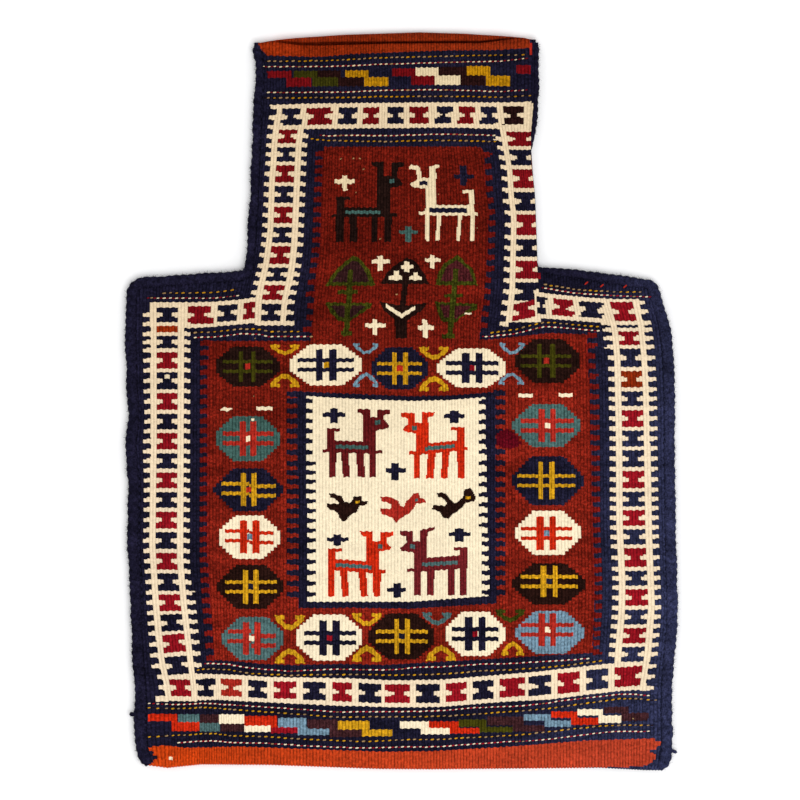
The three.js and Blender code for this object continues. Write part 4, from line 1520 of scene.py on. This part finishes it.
# Pairs of lines: the gold one, where the ivory one starts and ends, and how far it lies below the gold one
TWINED_PAIRS = [
    (
        [(264, 60.8), (330, 60.6), (375, 58), (526, 54.2)],
        259, 530, [(259, 5.2), (375, 6.6), (500, 6), (530, 3.4)],
    ),
    (
        [(264, 97.5), (346, 98), (380, 97), (500, 97), (530, 95)],
        266, 530, [(340, -5.4), (400, -6.5), (436, -6.6), (490, -5.7)],
    ),
    (
        [(311, 139), (330, 140.9), (385, 142), (436, 140.8), (498, 141.5)],
        320, 494, [(320, -4.3), (360, -5.8), (485, -6.2)],
    ),
    ([(160, 293), (212, 292.4), (238, 289)], 146, 238, [(146, 4.7), (205, 5.6), (238, 6.6)]),
    (
        [(190, 332.7), (215, 332), (240, 328.9), (262, 329.5), (268, 331.5), (302, 331.8)],
        194, 312, [(194, 5)],
    ),
    ([(543, 284), (575, 289.3), (614, 291.7), (642, 291.7)], 541, 650, [(600, 3.7), (650, 4.9)]),
    ([(490, 333), (514, 329.8), (545, 322), (600, 327)], 482, 600, [(482, 3.4), (531, 4.4), (600, 4)]),
    (
        [
            (196, 669.6), (211, 668.3), (229, 669.2), (249, 672.8), (290, 674.8), (340, 674.1),
            (400, 674.6), (440, 673.6), (480, 670.4), (515, 669.2), (560, 665.6), (602, 660.4),
        ],
        205, 590,
        [(240, -5.5), (290, -4.2), (340, -5.4), (384, -4.8), (418, -7.5), (548, -5.9), (590, -3.9)],
    ),
    (
        [
            (148, 708), (172, 709), (204, 707), (338, 717), (422, 716.5), (452, 715.6), (524, 710.5),
            (551, 707.9), (618, 698.7), (635, 698.6), (659, 701),
        ],
        148, 652, [(204, -4.2), (264, -5), (422, -5.4), (474, -6.6), (523, -5), (565, -6), (640, -4)],
    ),
    (
        [
            (148, 737.5), (200, 734.2), (216, 734), (231, 736), (263, 736.8), (311, 740), (367, 742),
            (405, 740), (440, 739.6), (520, 735.3), (597, 726.5), (616, 725.2), (655, 725.6),
        ],
        178, 650, [(178, 7.6), (264, 6.6), (372, 6.6), (423, 7.6), (508, 6), (553, 7.7), (619, 6.3)],
    ),
]
for gold_row, start, end, below in TWINED_PAIRS:
    twined("gold", "black", gold_row)
    places = sorted({start, end, *(x for x, _ in gold_row + below if start < x < end)})
    twined("ivory", "crimson", [(x, at(gold_row, x) + at(below, x)) for x in places])

# Mending stitches over the right shoulder, and two knots on the side edges
MENDING_LEVEL = 10.3
MENDING_STITCH = {"half_length": 1.9, "half_width": 0.7, "half_height": 0.8, "tilt": 0.7}
KNOT_HALF_HEIGHT = 1.7
for x, y in [(586.5, 283), (602, 285.6), (625.2, 286.4)]:
    beads.add("red", *to_millimetres(x, y), MENDING_LEVEL, **MENDING_STITCH)
for x, y, length, width, tilt in [(131.6, 715, 2.2, 2, 0), (674.2, 752, 3, 1.6, -0.4)]:
    beads.add("navy", *to_millimetres(x, y), SEAM_HEIGHT, length, width, KNOT_HALF_HEIGHT, tilt)
stitches = make_piece("twined_lines", beads.points, beads.faces, smooth_yarns, beads.yarns)

# Overcast bindings: yarn wrapped around both layers along each side edge. The section gives how far out
# and how high its points lie, as shares of the binding's reach and height; the lining lies on the cloth
BINDING_SECTION = [
    (-1, 0.5), (-0.6, 0.7), (-0.3, 0.86), (0.1, 0.9), (0.75, 0.66), (1.05, 0.25), (1.05, -0.3),
    (0.75, -0.72), (0, -1), (-0.4, -1), (-0.8, -1), (-1, -0.66),
]
BINDING_LINING = [(0.25, -1), (0.25, 1)]
PATH_TOP = 42
PATH_STEP = 4


def edge_path(neck_edge, shoulder, side, neck_bottom, bottom):
    """The cloth edge from the lip along neck, shoulder and side to the fold, in millimetres."""
    points = [(at(neck_edge, level), level) for level in np.arange(PATH_TOP, neck_bottom, PATH_STEP)]
    points += shoulder
    side_levels = [*np.arange(points[-1][1] + PATH_STEP, bottom - PATH_STEP / 2, PATH_STEP), bottom]
    points += [(at(side, level), level) for level in side_levels]
    return [to_millimetres(x, y) for x, y in points]


def evenly(path, spacing, rounding):
    """Points at even distances along a path, with its corners rounded."""
    points = np.array(path)
    gaps = np.hypot(*np.diff(points, axis=0).T)
    run = np.concatenate([[0], np.cumsum(gaps)])
    along = np.linspace(0, run[-1], int(run[-1] / spacing) + 1)
    even = np.column_stack([np.interp(along, run, points[:, axis]) for axis in (0, 1)])
    reach = int(rounding / spacing)
    padded = np.pad(even, ((reach, reach), (0, 0)), mode="edge")
    kernel = np.ones(2 * reach + 1) / (2 * reach + 1)
    smooth = np.column_stack([np.convolve(padded[:, axis], kernel, mode="valid") for axis in (0, 1)])
    smooth[0], smooth[-1] = even[0], even[-1]
    return smooth, along


def add_fibre(points, faces, root, direction, edge):
    """A loose fibre: a thin closed spike with three sides."""
    first = len(points)
    up = np.array([0, 0, FUZZ_RADIUS])
    tip = root + direction * (FUZZ_DEPTH + chance.uniform(*FUZZ_LENGTH))
    aside = FUZZ_RADIUS * edge
    base = root - aside / 2
    points += [tuple(corner) for corner in (root + aside, base + up, base - up, tip)]
    for corners in ((0, 1, 2), (0, 3, 1), (1, 3, 2), (2, 3, 0)):
        faces.append(tuple(first + corner for corner in corners))


def binding(name, path, rounding, outward, slack, cover):
    """A sleeve of slanting wraps. At a y in millimetres, slack is the share by which the sleeve lies under
    the cloth, and cover how far it reaches over the front, in millimetres."""
    line, along = evenly(path, WRAP_PITCH / ROWS_PER_WRAP, rounding)
    tangent = np.gradient(line, axis=0)
    tangent /= np.linalg.norm(tangent, axis=1)[:, None]
    normal = np.column_stack([tangent[:, 1], -tangent[:, 0]]) * outward
    stations = np.arange(0, along[-1] + WOBBLE_LENGTH, WOBBLE_LENGTH)
    wobble = np.interp(along, stations, [chance.uniform(-WOBBLE, WOBBLE) for _ in stations])
    points = []

    def add_point(row, reach, height):
        x, y = line[row] + normal[row] * reach
        points.append((x, y, SEAM_HEIGHT + height))

    for row, (_, y) in enumerate(line):
        loose = slack(y)
        end_share = float(ease(min(along[row], along[-1] - along[row]) / BINDING_END))
        end_size = BINDING_END_SIZE + (1 - BINDING_END_SIZE) * end_share
        for order, (aside, rise) in enumerate(BINDING_SECTION):
            wrap = abs(math.sin(math.pi * (along[row] / WRAP_PITCH + order * WRAP_SLANT)))
            swell = (WRAP_LOW + WRAP_SWELL * wrap) * end_size
            if aside > 0:
                reach = aside * (BINDING_BULGE + wobble[row]) * swell * (1 - loose)
            else:
                reach = aside * (cover(y) * (1 - SLACK_COVER_LOSS * loose) if rise > 0 else BINDING_REACH)
            height = rise * BINDING_HALF_HEIGHT * swell * (1 - loose if rise > 0 else 1)
            add_point(row, reach, max(height, BINDING_FLOOR_GAP - SEAM_HEIGHT))
        for aside, rise in BINDING_LINING:
            add_point(row, aside, rise * BINDING_INNER_HALF * (1 - loose if rise > 0 else 1))
    size = len(BINDING_SECTION) + len(BINDING_LINING)
    faces = [tuple(range(size)), tuple(range(len(points) - size, len(points)))]
    for here in range(0, len(points) - size, size):
        for order in range(size):
            following = (order + 1) % size
            faces.append((here + order, here + following, here + size + following, here + size + order))
    for _ in range(int(along[-1] / FUZZ_SPACING)):
        row = chance.randrange(len(line))
        root = np.array(points[row * size + chance.choice(FUZZ_ORDERS)])
        out = np.array([*normal[row], chance.uniform(*FUZZ_RISE)])
        edge = np.array([*tangent[row], 0.0])
        if slack(line[row][1]) == 0:
            lean = chance.uniform(*FUZZ_LEAN) * edge
            add_fibre(points, faces, root - FUZZ_DEPTH * out, out + lean, edge)
    return make_piece(name, points, faces, [binding_wool], [0] * len(faces))


# On the right of the neck the patterned front reaches the very edge, and the binding shows only behind it
RIGHT_SLACK = [(135, 0), (152, 0.95), (262, 0.95), (272, 0)]
LEFT_COVER = [(80, 6.5), (110, 4)]
RIGHT_COVER = [(80, 6.5), (110, 1.2)]
left_path = edge_path(NECK_LEFT_EDGE, LEFT_SHOULDER[::-1], LEFT_SIDE, neck_bottom=270, bottom=766.5)
right_path = edge_path(NECK_RIGHT_EDGE, RIGHT_SHOULDER, RIGHT_SIDE, neck_bottom=266, bottom=770)
left_binding = binding(
    "left_binding", left_path, rounding=6, outward=1,
    slack=lambda y: 0, cover=lambda y: float(at(LEFT_COVER, y)),
)
right_binding = binding(
    "right_binding", right_path, rounding=3, outward=-1,
    slack=lambda y: float(at(RIGHT_SLACK, CARTOON_MIDDLE[1] - y / THREAD)),
    cover=lambda y: float(at(RIGHT_COVER, y)),
)

for piece in (cloth, stitches, left_binding, right_binding):
    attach(piece, "root")
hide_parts("bag_cloth")
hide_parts("left_edge_binding")
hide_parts("right_edge_binding")

# Pale floor, soft light from above and a camera that looks straight down. Places and sizes are in metres,
# the camera's sensor in millimetres
FLOOR_HALF = 3
FLOOR_Z = -0.0003
FLOOR_COLOUR = (0.98, 0.98, 0.985, 1)
FLOOR_ROUGHNESS = 0.9
WORLD_STRENGTH = 0.76
LAMP_PLACE = (0.4, -0.55, 2.2)
LAMP_SIZE = 1.6
LAMP_POWER = 26
CAMERA_HEIGHT = 3.0
SENSOR_WIDTH = 36
FOCUS_HEIGHT = 0.012
FRAME_WIDTH = CARTOON_SIDE * THREAD / 1000
floor_mesh = bpy.data.meshes.new("floor")
floor_sides = ((-1, -1), (1, -1), (1, 1), (-1, 1))
floor_corners = [(x * FLOOR_HALF, y * FLOOR_HALF, FLOOR_Z) for x, y in floor_sides]
floor_mesh.from_pydata(floor_corners, [], [(0, 1, 2, 3)])
floor = bpy.data.objects.new("floor", floor_mesh)
floor_material = bpy.data.materials.new("floor_white")
floor_material.use_nodes = True
floor_shader = floor_material.node_tree.nodes["Principled BSDF"]
floor_shader.inputs["Base Color"].default_value = FLOOR_COLOUR
floor_shader.inputs["Roughness"].default_value = FLOOR_ROUGHNESS
floor_shader.inputs["Specular IOR Level"].default_value = 0.0
floor_mesh.materials.append(floor_material)

scene = bpy.context.scene
scene.view_settings.view_transform = "Standard"
world = bpy.data.worlds.new("studio")
world.use_nodes = True
world.node_tree.nodes["Background"].inputs["Color"].default_value = (1, 1, 1, 1)
world.node_tree.nodes["Background"].inputs["Strength"].default_value = WORLD_STRENGTH
scene.world = world

lamp_data = bpy.data.lights.new("soft_box", "AREA")
lamp_data.shape = "DISK"
lamp_data.size = LAMP_SIZE
lamp_data.energy = LAMP_POWER
lamp = bpy.data.objects.new("soft_box", lamp_data)
lamp.location = LAMP_PLACE
lamp.rotation_euler = (-Vector(LAMP_PLACE)).to_track_quat("-Z", "Y").to_euler()

camera_data = bpy.data.cameras.new("camera")
camera_data.sensor_width = SENSOR_WIDTH
camera_data.lens = SENSOR_WIDTH * (CAMERA_HEIGHT - FOCUS_HEIGHT) / FRAME_WIDTH
camera = bpy.data.objects.new("camera", camera_data)
middle_x, middle_y = to_millimetres(CARTOON_SIDE / 2, CARTOON_SIDE / 2)
camera.location = (middle_x / 1000, middle_y / 1000, CAMERA_HEIGHT)
for added in (floor, lamp, camera):
    scene.collection.objects.link(added)
scene.camera = camera

bpy.context.view_layer.update()
